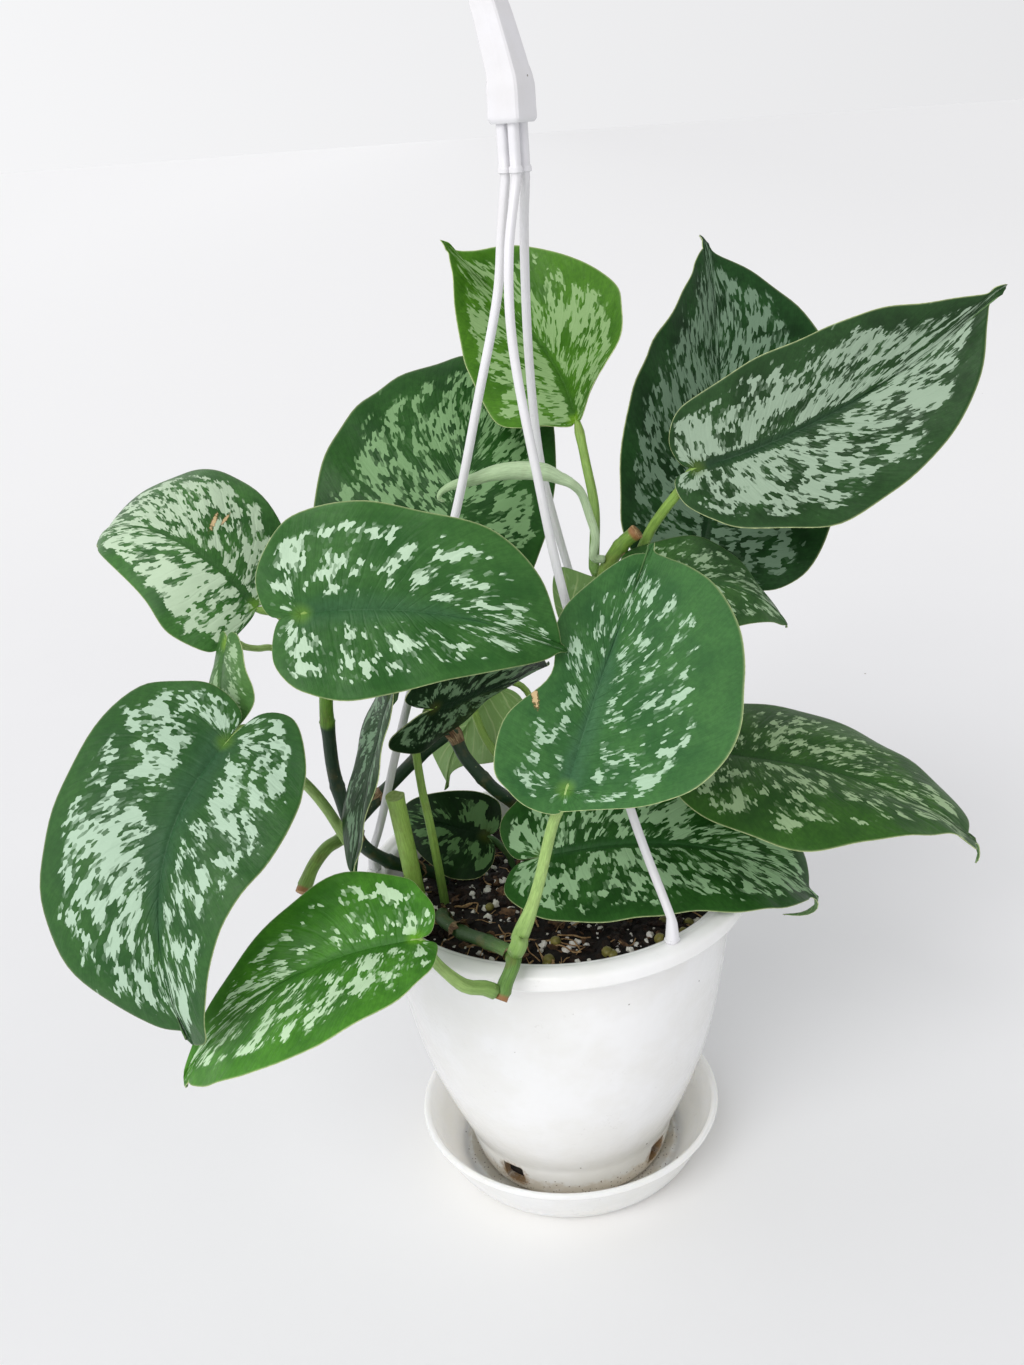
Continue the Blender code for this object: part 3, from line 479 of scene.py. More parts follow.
LEAVES = (
    LeafSizes("leaf_front", (3, -83, 210), 64, 39, 8, 99, .28, .59, 9, 4, 27, -7, 0, .11,
        (-.11, -.05, .13, .13), ((-2, -81, 197), (-7.8, -78, 173.7), (-11.6, -77, 161.7),
        (-15.7, -76, 151.5)), "stem_over_rim", 0.84, stalk_radius=2.2),
    LeafSizes("leaf_middle_left", (-78, -63, 270), 1, 3, 62, 88, .40, .33, 32, 27, 18, -12, 12, .15,
        (-.05, -.10, .16, -.13), ((-79, -55, 261), (-79, -34, 247)), "stem_left", .975),
    LeafSizes("leaf_left_large", (-108, -64.5, 227.5), -136, -27, -25, 108, .38, .40, 68, -62, 21, -35,
        -10, .16, (-.08, -.06, -.12, .33), ((-103, -55, 228), (-100, -44, 215), (-95.5, -32, 201),
        (-90.9, -21, 188.6), (-85.1, -18.5, 176.9)), "stem_left", .46, stalk_radius=2.1),
    LeafSizes("leaf_left_low", (-50, -89, 161.5), -178, -3, -17, 97, .38, .29, 54, -23, 25, -13, -27,
        .09, (.03, -.06, 0, -.40), ((-43.7, -91, 152.5), (-35.7, -90, 142.8)), "stem_over_rim", 0.98,
        stalk_radius=2.1),
    LeafSizes("leaf_left_high", (-102, -10, 256), 179, 59, -41, 87, .34, .48, 116, -22, -7, -19, -18,
        .05, (-.07, .11, -.24, .40), ((-95, -8, 252),), "stem_left", .99),
    LeafSizes("leaf_left_small", (-109.6, -31, 251), -123, -61, 32, 35.5, .51, .33, 21, -18, 17, -39,
        -28, .09, (.03, .11, .36, 0), ((-105.2, -28, 247.8), (-101, -23, 244.7), (-96.5, -17, 242.2)),
        "stem_left", .95, drip=.03, stalk_radius=1.4),
    LeafSizes("leaf_back", (-38, 39, 242), 60, 64, 36, 115, .49, .33, 38, 24, 0, -12, -11, .12,
        (0, 0, .05, 0), ((-35, 32, 229), (-27, 17, 194), (-20, 11, 180)), "stem_middle", 0.276),
    LeafSizes("leaf_top", (20, 46, 303), 92, 27, -35, 101, .35, .42, -80, -30, 36, -14, 42, .03,
        (.03, 0, .15, 0), ((22.5, 39, 288), (24.5, 31, 271)), "stem_right", .86, stalk_radius=2.1),
    LeafSizes("leaf_right_back", (67, 44, 245), 60, 58, 36, 140, .35, .36, 23, -14, 17, 12, 15, .07,
        (.05, 0, -.45, .2), ((60, 39, 236), (42, 30, 222)), "stem_right", .66, stalk_radius=2.1,
        drip=.08),
    LeafSizes("leaf_right_high", (61, 13, 289), 4, 11, 58, 123, .28, .34, -18, -26, 20, 8, 32, .06,
        (-.01, .01, .18, .08), ((55, 14, 281), (49, 18, 272), (43, 22, 261)), "stem_right", .78,
        stalk_radius=2.2, drip=.07, hook=70),
    LeafSizes("leaf_curled", (38, -5, 254), -15, 5, 40, 65, .42, .34, 82, 10, -25, 0, -6, .12,
        (.03, 0, .2, -.5), ((35, -3, 246), (30, 6, 236)), "stem_right", .70),
    LeafSizes("leaf_right_low", (59, -10, 185), -8, -7, 15, 115, .38, .36, 41, -2, 13, -36, -7, .10,
        (.05, .05, .05, -.45), ((51, -5, 183), (36, 7, 185)), "stem_right", .47, drip=.12, hook=60),
    LeafSizes("leaf_over_soil", (-5, -21, 151), -4, 12, 30, 119, .35, .31, 70, 16, 11, -2, 9, .13,
        (.11, -.07, -.05, -.06), ((-5, -19, 147), (-1, -12, 137), (1, -10, 127), (1, -10, 119),
        (1, -10, 111)), "soil", drip=.24, hook=110),
    LeafSizes("leaf_low_dark", (-27, 19, 140), 167, 15, -48, 42, .42, .40, 52, 5, 20, -11, -25, .10,
        (-.06, -.10, 0, -.06), ((-23, 20, 136), (-18, 22, 127), (-18, 22, 119), (-18, 22, 111)), "soil",
        stalk_radius=1.5),
    LeafSizes("leaf_under_middle", (-40.5, -32, 220.4), 43, -6, 117, 61, .39, .47, 9, -1, -8, 8, 27, .25,
        (-.11, .04, .06, -.29), ((-45, -24, 213), (-49.5, -12, 203), (-50.5, -4, 190), (-49.5, -6, 175),
        (-47.5, -9, 160), (-45.5, -4, 127), (-45.5, -4, 119), (-45.5, -4, 111)), "soil"),
    LeafSizes("leaf_narrow", (-54, -36, 228.5), 160, -67, -24, 73, .24, .33, 10, -22, 17, -28, -14, .08,
        (-.02, .06, -.12, .3), ((-58, -32, 233), (-66, -17, 236)), "stem_left", .945),
    LeafSizes("leaf_turned", (16, -9, 234), 107, 26, 147, 41, .44, .14, -11, -7, 0, -28, 16, .08,
        (.04, .01, -.35, 0), ((17, -5, 226), (19, 4, 215)), "stem_right", .56, stalk_radius=1.6),
    LeafSizes("leaf_pale_back", (-17, 29, 201), 165, -42, 115, 56, .42, .43, -29, 28, 4, -23, 9, .10,
        (.03, .01, .12, -.80), ((-12, 30, 203), (-5, 32, 195), (3, 34, 165), (4, 35, 127), (4, 35, 119),
        (4, 35, 111)), "soil", stalk_radius=1.6),
)


# Shading

class Graph:
    """A node tree with short calls for adding and joining its nodes."""

    def __init__(self, tree: Tree) -> None:
        """Keeps the tree."""
        self.tree = tree

    def add(self, kind: str, **settings: Any) -> bpy.types.Node:
        """A new node with the given settings."""
        node = self.tree.nodes.new(kind)
        for name, value in settings.items():
            setattr(node, name, value)
        return node

    def feed(self, socket: Socket, value: Any) -> None:
        """Joins a socket to an input, or sets a constant on it."""
        if value is None:
            return
        if isinstance(value, Socket):
            self.tree.links.new(value, socket)
        elif socket.type == "RGBA":
            socket.default_value = (*value, 1.0) if len(value) == 3 else value
        else:
            socket.default_value = value

    def math(self, operation: str, a: Any, b: Any = None, c: Any = None) -> Socket:
        """A Math node's result."""
        node = self.add("ShaderNodeMath", operation=operation)
        for socket, value in zip(node.inputs, (a, b, c)):
            self.feed(socket, value)
        return node.outputs[0]

    def plus(self, a: Any, b: Any) -> Socket:
        """The sum of two values."""
        return self.math("ADD", a, b)

    def minus(self, a: Any, b: Any) -> Socket:
        """The first value less the second."""
        return self.math("SUBTRACT", a, b)

    def times(self, a: Any, b: Any) -> Socket:
        """The product of two values."""
        return self.math("MULTIPLY", a, b)

    def over(self, a: Any, b: Any) -> Socket:
        """The first value divided by the second."""
        return self.math("DIVIDE", a, b)

    def line(self, a: Any, slope: Any, start: Any) -> Socket:
        """A value times a slope, plus a start."""
        return self.math("MULTIPLY_ADD", a, slope, start)

    def vector(self, operation: str, a: Any, b: Any = None, scale: Any = None) -> Socket:
        """A Vector Math node's result."""
        node = self.add("ShaderNodeVectorMath", operation=operation)
        self.feed(node.inputs[0], a)
        self.feed(node.inputs[1], b)
        if scale is not None:
            self.feed(node.inputs["Scale"], scale)
        return node.outputs["Value" if operation in ("LENGTH", "DISTANCE", "DOT_PRODUCT") else "Vector"]

    def mix(self, factor: Any, a: Any, b: Any) -> Socket:
        """A colour between a and b."""
        node = self.add("ShaderNodeMix", data_type="RGBA")
        self.feed(node.inputs[0], factor)
        self.feed(node.inputs[6], a)
        self.feed(node.inputs[7], b)
        return node.outputs[2]

    def blend(self, factor: Any, a: Any, b: Any) -> Socket:
        """A value between a and b."""
        node = self.add("ShaderNodeMix", data_type="FLOAT")
        for socket, value in zip(node.inputs, (factor, a, b)):
            self.feed(socket, value)
        return node.outputs[0]

    def span(self, value: Any, low: Any, high: Any, start: Any = 0.0, end: Any = 1.0,
            soft: bool = True) -> Socket:
        """A value moved from the span low to high into start to end, and clamped."""
        node = self.add("ShaderNodeMapRange", interpolation_type="SMOOTHSTEP" if soft else "LINEAR")
        for socket, item in zip(node.inputs, (value, low, high, start, end)):
            self.feed(socket, item)
        return node.outputs[0]

    def noise(self, vector: Any, scale: Any, detail: float = 3.0, rough: float = 0.5) -> Socket:
        """Smooth noise of 0 to 1 about 0.5."""
        node = self.add("ShaderNodeTexNoise")
        self.feed(node.inputs["Vector"], vector)
        self.feed(node.inputs["Scale"], scale)
        node.inputs["Detail"].default_value = detail
        node.inputs["Roughness"].default_value = rough
        return node.outputs[0]

    def cells(self, vector: Any, scale: Any, flat: bool = False, jitter: float = 1.0) -> bpy.types.Node:
        """A Voronoi texture node."""
        node = self.add("ShaderNodeTexVoronoi", voronoi_dimensions="2D" if flat else "3D")
        self.feed(node.inputs["Vector"], vector)
        self.feed(node.inputs["Scale"], scale)
        node.inputs["Randomness"].default_value = jitter
        return node

    def parts(self, vector: Any) -> tuple[Socket, ...]:
        """The three components of a vector."""
        node = self.add("ShaderNodeSeparateXYZ")
        self.feed(node.inputs[0], vector)
        return tuple(node.outputs)

    def whole(self, x: Any = 0.0, y: Any = 0.0, z: Any = 0.0) -> Socket:
        """A vector of three components."""
        node = self.add("ShaderNodeCombineXYZ")
        for socket, value in zip(node.inputs, (x, y, z)):
            self.feed(socket, value)
        return node.outputs[0]

    def surface_map(self, name: str) -> Socket:
        """A mesh's named surface places."""
        return self.add("ShaderNodeUVMap", uv_map=name).outputs[0]

    def body_place(self) -> Socket:
        """The place in millimetres in the object's own frame."""
        return self.vector("SCALE", self.add("ShaderNodeTexCoord").outputs["Object"], scale=1 / MM)

    def use(self, effect: "Effect", **inputs: Any) -> Mapping[str, Socket]:
        """Adds a shared effect and gives its outputs by name."""
        node = self.add("ShaderNodeGroup")
        node.node_tree = effect.group()
        for name, value in inputs.items():
            self.feed(node.inputs[name.replace("_", " ").title()], value)
        return node.outputs


VEIN_BOW = 0.004               # how much the side veins bow, per millimetre
CELL_STRETCH = 2.1             # how much longer than wide a cell of the splashes is


class Effect(Enum):
    """The effects that several materials share, each one node group."""
    LEAF_ZONES = "Leaf zones"
    SPLASHES = "Silver splashes"
    VEIN_RELIEF = "Vein relief"
    SCAR = "Scar"
    PLASTIC_WEAR = "Plastic wear"
    EARTH_STAIN = "Earth stain"
    FIBRE_GRAIN = "Fibre grain"

    def group(self) -> Tree:
        """The effect's node group, built at its first use."""
        found = bpy.data.node_groups.get(self.value)
        return found or BUILDERS[self](self.value)


def effect_tree(name: str, inputs: Mapping[str, Any], outputs: Mapping[str, str]) -> tuple[Graph,
        Mapping[str, Socket], Mapping[str, Socket]]:
    """An empty node group with its sockets.

    Args:
        name: the group's name.
        inputs: for each input its default: a number, or a vector of three.
        outputs: for each output "Float" or "Color".

    Returns:
        The graph, its input sockets and its output sockets, by name.
    """
    tree = bpy.data.node_groups.new(name, "ShaderNodeTree")
    for title, value in inputs.items():
        kind = "NodeSocketFloat" if isinstance(value, float) else "NodeSocketVector"
        socket = tree.interface.new_socket(title, in_out="INPUT", socket_type=kind)
        socket.default_value = value
    for title, kind in outputs.items():
        tree.interface.new_socket(title, in_out="OUTPUT", socket_type=f"NodeSocket{kind}")
    graph = Graph(tree)
    return graph, graph.add("NodeGroupInput").outputs, graph.add("NodeGroupOutput").inputs


def build_leaf_zones(name: str) -> Tree:
    """Masks of a blade's midrib band, margin and stalk junction.

    Args:
        name: the group's name.

    Returns:
        The group's tree.
    """
    g, given, out = effect_tree(name, {"Place": ORIGIN, "Flat": ORIGIN, "Rib Width": 0.12,
        "Margin Width": 0.1}, {"Rib": "Float", "Margin": "Float", "Junction": "Float", "Edge": "Float"})
    t, s, _ = g.parts(given["Place"])
    waver = g.noise(given["Flat"], 0.09, 3.0, 0.6)
    drift = g.line(waver, 0.12, -0.06)
    near = g.plus(t, drift)
    fade = g.span(s, 0.55, 1.0, 1.0, 0.35)
    g.feed(out["Rib"], g.span(near, 0.0, g.times(given["Rib Width"], fade), 1.0, 0.0))
    start = g.minus(1.0, given["Margin Width"])
    g.feed(out["Margin"], g.span(near, g.minus(start, 0.06), g.plus(start, 0.05)))
    reach = g.vector("LENGTH", given["Flat"])
    g.feed(out["Junction"], g.span(g.line(waver, 3.0, reach), 2.0, 6.5, 1.0, 0.0))
    g.feed(out["Edge"], g.span(t, 0.985, 1.0))
    return g.tree


def build_splashes(name: str) -> Tree:
    """The satin splashes: ragged patches of small cells drawn out along the side veins.

    Cover sets how much of the blade they take, Cell the width of one cell in millimetres,
    Rib Width and Margin Width the shares of a half blade that stay plain.

    Args:
        name: the group's name.

    Returns:
        The group's tree.
    """
    g, given, out = effect_tree(name, {"Vein": ORIGIN, "Place": ORIGIN, "Seed": 0.0, "Cover": 0.5,
        "Cell": 0.8, "Rib Width": 0.1, "Margin Width": 0.08, "Cluster": 1.0},
        {"Splash": "Float", "Ghost": "Float", "Tone": "Float"})
    u, v, _ = g.parts(given["Vein"])
    t, s, _ = g.parts(given["Place"])
    size = given["Cell"]
    bend = g.times(g.times(u, u), VEIN_BOW)
    v = g.minus(v, bend)
    wobble = g.noise(g.whole(u, v, given["Seed"]), 0.35, 2.0, 0.5)
    v = g.plus(v, g.line(wobble, 1.2, -0.6))
    small = g.whole(g.over(g.over(u, CELL_STRETCH), size), g.over(v, size), given["Seed"])
    cell = g.cells(small, 1.0, flat=True, jitter=0.95)
    at = cell.outputs["Position"]
    tone = g.parts(cell.outputs["Color"])
    cu, cv, _ = g.parts(at)
    cu = g.times(g.times(cu, size), CELL_STRETCH)
    cv = g.times(cv, size)
    spread = given["Cluster"]
    wide = g.whole(g.times(cu, 0.9), cv, g.times(given["Seed"], 3.7))
    big = g.noise(wide, g.over(0.2, spread), 4.0, 0.58)
    chain = g.noise(g.vector("ADD", wide, (40.0, 17.0, 5.0)), g.over(0.07, spread), 2.0, 0.5)
    level = g.plus(big, g.line(tone[0], 0.09, -0.045))
    level = g.plus(level, g.line(chain, 0.32, -0.16))
    rib = g.span(t, g.times(given["Rib Width"], 0.35), g.times(given["Rib Width"], 2.2), 0.30, 0.0)
    edge = g.minus(1.0, given["Margin Width"])
    margin = g.span(t, g.minus(edge, 0.16), g.plus(edge, 0.03), 0.0, 0.26)
    tip = g.span(s, 0.86, 1.0, 0.0, 0.12)
    foot = g.span(s, 0.02, 0.16, 0.08, 0.0)
    loss = g.plus(g.plus(rib, margin), g.plus(tip, foot))
    level = g.minus(level, loss)
    bar = g.span(given["Cover"], 0.0, 1.0, 0.80, 0.24, soft=False)
    g.feed(out["Splash"], g.span(level, g.minus(bar, 0.006), g.plus(bar, 0.006)))
    fleck = g.math("GREATER_THAN", tone[1], 0.90)
    near = g.span(level, g.minus(bar, 0.12), g.minus(bar, 0.04))
    g.feed(out["Ghost"], g.math("MAXIMUM", g.times(fleck, near),
        g.span(level, g.minus(bar, 0.04), g.minus(bar, 0.015), 0.0, 0.3)))
    grain = g.noise(g.whole(g.times(u, 0.16), g.times(v, 2.6), given["Seed"]), 1.0, 3.0, 0.6)
    g.feed(out["Tone"], g.blend(0.5, tone[2], grain))
    return g.tree


def build_vein_relief(name: str) -> Tree:
    """Side veins, the fine lines between them and the grain of the skin, as a height.

    Args:
        name: the group's name.

    Returns:
        The group's tree.
    """
    g, given, out = effect_tree(name, {"Vein": ORIGIN, "Place": ORIGIN, "Flat": ORIGIN, "Seed": 0.0},
        {"Height": "Float", "Line": "Float", "Vein": "Float"})
    u, v, _ = g.parts(given["Vein"])
    t, _, _ = g.parts(given["Place"])
    v = g.minus(v, g.times(g.times(u, u), VEIN_BOW))
    drift = g.noise(g.whole(u, v, given["Seed"]), 0.07, 2.0, 0.5)
    course = g.plus(v, g.line(drift, 5.0, given["Seed"]))
    fold = g.math("PINGPONG", course, 3.4)
    main = g.span(fold, 0.0, 0.8, 1.0, 0.0)
    fade = g.span(t, 0.55, 1.0, 1.0, 0.2)
    main = g.times(main, fade)
    line = g.noise(g.whole(g.times(u, 0.09), g.times(v, 1.9), given["Seed"]), 1.0, 3.0, 0.65)
    skin = g.noise(given["Flat"], 3.2, 2.0, 0.6)
    pucker = g.noise(g.whole(g.times(u, 0.6), v, given["Seed"]), 0.22, 2.0, 0.5)
    height = g.line(main, -0.10, g.times(line, 0.09))
    height = g.plus(height, g.times(skin, 0.05))
    height = g.plus(height, g.times(pucker, 0.5))
    g.feed(out["Height"], height)
    g.feed(out["Line"], line)
    g.feed(out["Vein"], main)
    return g.tree


def build_scar(name: str) -> Tree:
    """A dry scar at a place of the flat blade, with a ragged dark rim.

    Args:
        name: the group's name.

    Returns:
        The group's tree.
    """
    g, given, out = effect_tree(name, {"Flat": ORIGIN, "Centre": ORIGIN, "Along": (1.0, 0.0, 0.0),
        "Length": 6.0, "Width": 2.0}, {"Dry": "Float", "Rim": "Float"})
    away = g.vector("SUBTRACT", given["Flat"], given["Centre"])
    ahead = g.over(g.vector("DOT_PRODUCT", away, given["Along"]), given["Length"])
    square = g.vector("CROSS_PRODUCT", away, given["Along"])
    beside = g.over(g.vector("LENGTH", square), given["Width"])
    reach = g.math("SQRT", g.plus(g.times(ahead, ahead), g.times(beside, beside)))
    ragged = g.plus(reach, g.line(g.noise(given["Flat"], 0.9, 3.0, 0.7), 1.4, -0.7))
    g.feed(out["Dry"], g.span(ragged, 0.42, 0.5, 1.0, 0.0))
    g.feed(out["Rim"], g.span(ragged, 0.5, 0.72, 1.0, 0.0))
    return g.tree


def build_plastic_wear(name: str) -> Tree:
    """Moulded plastic that has been used: faint clouding, hair scratches, dirt specks.

    Args:
        name: the group's name.

    Returns:
        The group's tree.
    """
    g, given, out = effect_tree(name, {"Place": ORIGIN, "Dirt": 0.5},
        {"Cloud": "Float", "Speck": "Float", "Smudge": "Float", "Gloss": "Float", "Height": "Float"})
    place = given["Place"]
    cloud = g.noise(place, 0.035, 4.0, 0.6)
    g.feed(out["Cloud"], cloud)
    dots = g.cells(place, 0.14)
    size = g.parts(dots.outputs["Color"])
    keep = g.math("LESS_THAN", size[0], g.times(given["Dirt"], 0.3))
    reach = g.line(size[1], 0.06, 0.02)
    near = g.plus(dots.outputs["Distance"], g.line(g.noise(place, 2.2, 2.0), 0.08, -0.04))
    g.feed(out["Speck"], g.times(keep, g.span(near, g.times(reach, 0.6), reach, 1.0, 0.0)))
    patch = g.span(g.noise(place, 0.06, 3.0, 0.6), 0.58, 0.70)
    fine = g.span(g.noise(place, 0.7, 4.0, 0.75), 0.52, 0.66)
    smudge = g.times(g.times(patch, fine), given["Dirt"])
    g.feed(out["Smudge"], smudge)
    x, y, z = g.parts(place)
    hair = g.noise(g.whole(g.times(x, 0.35), y, g.times(z, 7.0)), 0.5, 3.0, 0.7)
    g.feed(out["Gloss"], g.blend(0.5, cloud, hair))
    height = g.times(hair, 0.02)
    g.feed(out["Height"], g.plus(height, g.times(g.noise(place, 0.18, 2.0), 0.22)))
    return g.tree


def build_earth_stain(name: str) -> Tree:
    """Soil washed out by watering: crumbs and a brown film where Reach is near 1.

    Args:
        name: the group's name.

    Returns:
        The group's tree.
    """
    g, given, out = effect_tree(name, {"Place": ORIGIN, "Reach": 0.0},
        {"Film": "Float", "Crumb": "Float"})
    place = given["Place"]
    wash = g.noise(place, 0.12, 4.0, 0.65)
    film = g.plus(g.line(wash, 1.5, -1.0), given["Reach"])
    g.feed(out["Film"], g.span(film, 0.15, 0.75))
    dots = g.cells(place, 0.75)
    near = g.plus(dots.outputs["Distance"], g.line(g.noise(place, 3.0, 2.0), 0.5, -0.25))
    pick = g.parts(dots.outputs["Color"])
    crumb = g.math("LESS_THAN", pick[0], g.times(film, 0.75))
    g.feed(out["Crumb"], g.times(crumb, g.span(near, 0.16, 0.30, 1.0, 0.0)))
    return g.tree


def build_fibre_grain(name: str) -> Tree:
    """Lengthwise fibres of a stem, from places of (share around, millimetres along).

    Args:
        name: the group's name.

    Returns:
        The group's tree.
    """
    g, given, out = effect_tree(name, {"Place": ORIGIN, "Girth": 16.0, "Stretch": 0.1, "Seed": 0.0},
        {"Streak": "Float", "Blotch": "Float", "Height": "Float", "Speck": "Float"})
    around, along, _ = g.parts(given["Place"])
    turn = g.times(around, 2 * math.pi)
    radius = g.over(given["Girth"], 2 * math.pi)
    x = g.times(g.math("COSINE", turn), radius)
    y = g.times(g.math("SINE", turn), radius)
    low = g.whole(x, y, g.line(along, given["Stretch"], given["Seed"]))
    streak = g.noise(low, 2.1, 4.0, 0.65)
    even = g.whole(x, y, g.plus(along, given["Seed"]))
    g.feed(out["Streak"], streak)
    g.feed(out["Blotch"], g.noise(even, 0.14, 3.0, 0.6))
    g.feed(out["Height"], g.plus(g.times(streak, 0.22), g.times(g.noise(even, 0.9, 3.0), 0.12)))
    dots = g.cells(even, 0.55)
    pick = g.parts(dots.outputs["Color"])
    g.feed(out["Speck"], g.times(g.math("LESS_THAN", pick[0], 0.22),
        g.span(dots.outputs["Distance"], 0.08, 0.2, 1.0, 0.0)))
    return g.tree


BUILDERS: Mapping[Effect, Callable[[str], Tree]] = {
    Effect.LEAF_ZONES: build_leaf_zones,
    Effect.SPLASHES: build_splashes,
    Effect.VEIN_RELIEF: build_vein_relief,
    Effect.SCAR: build_scar,
    Effect.PLASTIC_WEAR: build_plastic_wear,
    Effect.EARTH_STAIN: build_earth_stain,
    Effect.FIBRE_GRAIN: build_fibre_grain,
}


class Shader:
    """A new material with its Principled shader, and calls that dress it."""

    def __init__(self, name: str, ior: float = 1.45) -> None:
        """Starts the material.

        Args:
            name: the material's name.
            ior: the surface's index of refraction.
        """
        self.material = bpy.data.materials.new(name)
        self.material.use_nodes = True
        self.graph = Graph(self.material.node_tree)
        self.surface = self.material.node_tree.nodes["Principled BSDF"]
        self.surface.inputs["IOR"].default_value = ior

    def set(self, **inputs: Any) -> "Shader":
        """Feeds inputs of the Principled shader by name, such as base_color."""
        for name, value in inputs.items():
            key = name.replace("_", " ").title().replace("Ior", "IOR")
            self.graph.feed(self.surface.inputs[key], value)
        return self

    def relief(self, height: Any, distance: float = 1.0, strength: float = 1.0) -> "Shader":
        """Adds a bump from a height in millimetres.

        Args:
            height: the height socket.
            distance: the factor on the height.
            strength: how much of the bump shows.

        Returns:
            This shader.
        """
        bump = self.graph.add("ShaderNodeBump")
        bump.inputs["Distance"].default_value = distance * MM
        bump.inputs["Strength"].default_value = strength
        self.graph.feed(bump.inputs["Height"], height)
        self.graph.feed(self.surface.inputs["Normal"], bump.outputs[0])
        return self


@dataclass(frozen=True)
class Scar:
    """A dry scar: its centre, direction, length and width on the flat blade, in millimetres."""
    centre: tuple[float, float]
    turn: float
    length: float
    width: float


@dataclass(frozen=True)
class LeafFinish:
    """The colours and pattern of one leaf."""
    seed: float
    dark: Colour = shade(40, 92, 38)
    light: Colour = shade(62, 112, 50)
    # rib: the midrib band's own tint with a painted bluish sheen on it
    rib: Colour = shade(62, 103, 76)
    silver: Colour = shade(160, 196, 148)
    edge: Colour = shade(196, 208, 150)
    under: Colour = shade(92, 132, 74)
    cover: float = 0.50
    cell: float = 0.8
    cluster: float = 1.0
    rib_width: float = 0.10
    margin_width: float = 0.08
    rough: float = 0.42
    gloss: float = 0.28
    scars: tuple[Scar, ...] = ()

    def top(self, name: str) -> Material:
        """The upper side's material.

        Args:
            name: the material's name.

        Returns:
            The material.
        """
        shader = Shader(name)
        g = shader.graph
        vein, place, flat = (g.surface_map(key) for key in Draft.MAPS)
        zones = g.use(Effect.LEAF_ZONES, place=place, flat=flat, rib_width=self.rib_width * 2.4,
            margin_width=self.margin_width)
        splash = g.use(Effect.SPLASHES, vein=vein, place=place, seed=self.seed, cover=self.cover,
            cell=self.cell, rib_width=self.rib_width, margin_width=self.margin_width,
            cluster=self.cluster)
        relief = g.use(Effect.VEIN_RELIEF, vein=vein, place=place, flat=flat, seed=self.seed)
        ground = g.mix(g.span(g.noise(flat, 0.05, 3.0, 0.6), 0.36, 0.64), self.dark, self.light)
        ground = g.mix(g.times(zones["Margin"], 0.55), ground, self.light)
        # The midrib band: its own tint with a painted bluish sheen.
        ground = g.mix(g.times(zones["Rib"], 0.6), ground, self.rib)
        mottle = g.noise(flat, 0.55, 3.0, 0.6)
        ground = g.mix(g.span(mottle, 0.35, 0.65, 0.0, 0.3), ground, dim(self.dark, 0.62))
        ground = g.mix(g.span(relief["Line"], 0.35, 0.7, 0.0, 0.22), ground, dim(self.dark, 0.55))
        ground = g.mix(g.times(splash["Ghost"], 0.42), ground, self.silver)
        silver = g.mix(g.span(splash["Tone"], 0.3, 0.7), dim(self.silver, 0.86),
            tuple(min(1.0, 1.42 * c) for c in self.silver))
        colour = g.mix(g.times(splash["Splash"], 0.94), ground, silver)
        red, green, blue = self.light
        young = tuple(min(1.0, c) for c in (2.3 * red + 0.03, 1.9 * green, 0.9 * blue))
        colour = g.mix(g.times(zones["Junction"], 0.6), colour, young)
        colour = g.mix(g.times(zones["Edge"], 0.3), colour, self.edge)
        for scar in self.scars:
            turn = math.radians(scar.turn)
            mark = g.use(Effect.SCAR, flat=flat, centre=(*scar.centre, 0.0),
                along=(math.cos(turn), math.sin(turn), 0.0), length=scar.length, width=scar.width)
            colour = g.mix(g.times(mark["Rim"], 0.8), colour, shade(122, 96, 60))
            colour = g.mix(mark["Dry"], colour, shade(214, 186, 140))
        rough = g.plus(self.rough, g.line(relief["Line"], 0.16, -0.08))
        rough = g.plus(rough, g.times(splash["Splash"], 0.04))
        shader.set(base_color=colour, roughness=rough, specular_ior_level=self.gloss)
        height = g.line(splash["Splash"], 0.03, relief["Height"])
        return shader.relief(height, 1.0, 0.9).material

    def underside(self, name: str) -> Material:
        """The lower side's material: paler and duller, the splashes only just showing.

        Args:
            name: the material's name.

        Returns:
            The material.
        """
        shader = Shader(name)
        g = shader.graph
        vein, place, flat = (g.surface_map(key) for key in Draft.MAPS)
        splash = g.use(Effect.SPLASHES, vein=vein, place=place, seed=self.seed, cover=self.cover,
            cell=self.cell, rib_width=self.rib_width, margin_width=self.margin_width,
            cluster=self.cluster)
        relief = g.use(Effect.VEIN_RELIEF, vein=vein, place=place, flat=flat, seed=self.seed)
        cool = dim(self.under, 0.8)
        ground = g.mix(g.noise(flat, 0.06, 3.0, 0.6), self.under, cool)
        ground = g.mix(g.times(splash["Splash"], 0.22), ground, self.silver)
        ground = g.mix(g.times(relief["Vein"], 0.3), ground, self.edge)
        ground = g.mix(g.span(relief["Line"], 0.4, 0.7, 0.0, 0.18), ground, dim(self.under, 0.6))
        rough = g.span(relief["Line"], 0.3, 0.7, 0.5, 0.62)
        shader.set(base_color=ground, roughness=rough)
        return shader.relief(g.times(relief["Height"], -1.0), 1.0, 0.9).material

    def margin(self, name: str) -> Material:
        """The thin pale line along the blade's edge.

        Args:
            name: the material's name.

        Returns:
            The material.
        """
        shader = Shader(name)
        g = shader.graph
        flat = g.surface_map("flat")
        grain = g.noise(flat, 0.5, 3.0, 0.6)
        colour = g.mix(g.span(grain, 0.35, 0.65), self.edge,
            tuple(0.5 * (a + b) for a, b in zip(self.edge, self.light)))
        shader.set(base_color=colour, roughness=g.span(grain, 0.3, 0.7, 0.4, 0.6))
        return shader.relief(g.times(grain, 0.1)).material


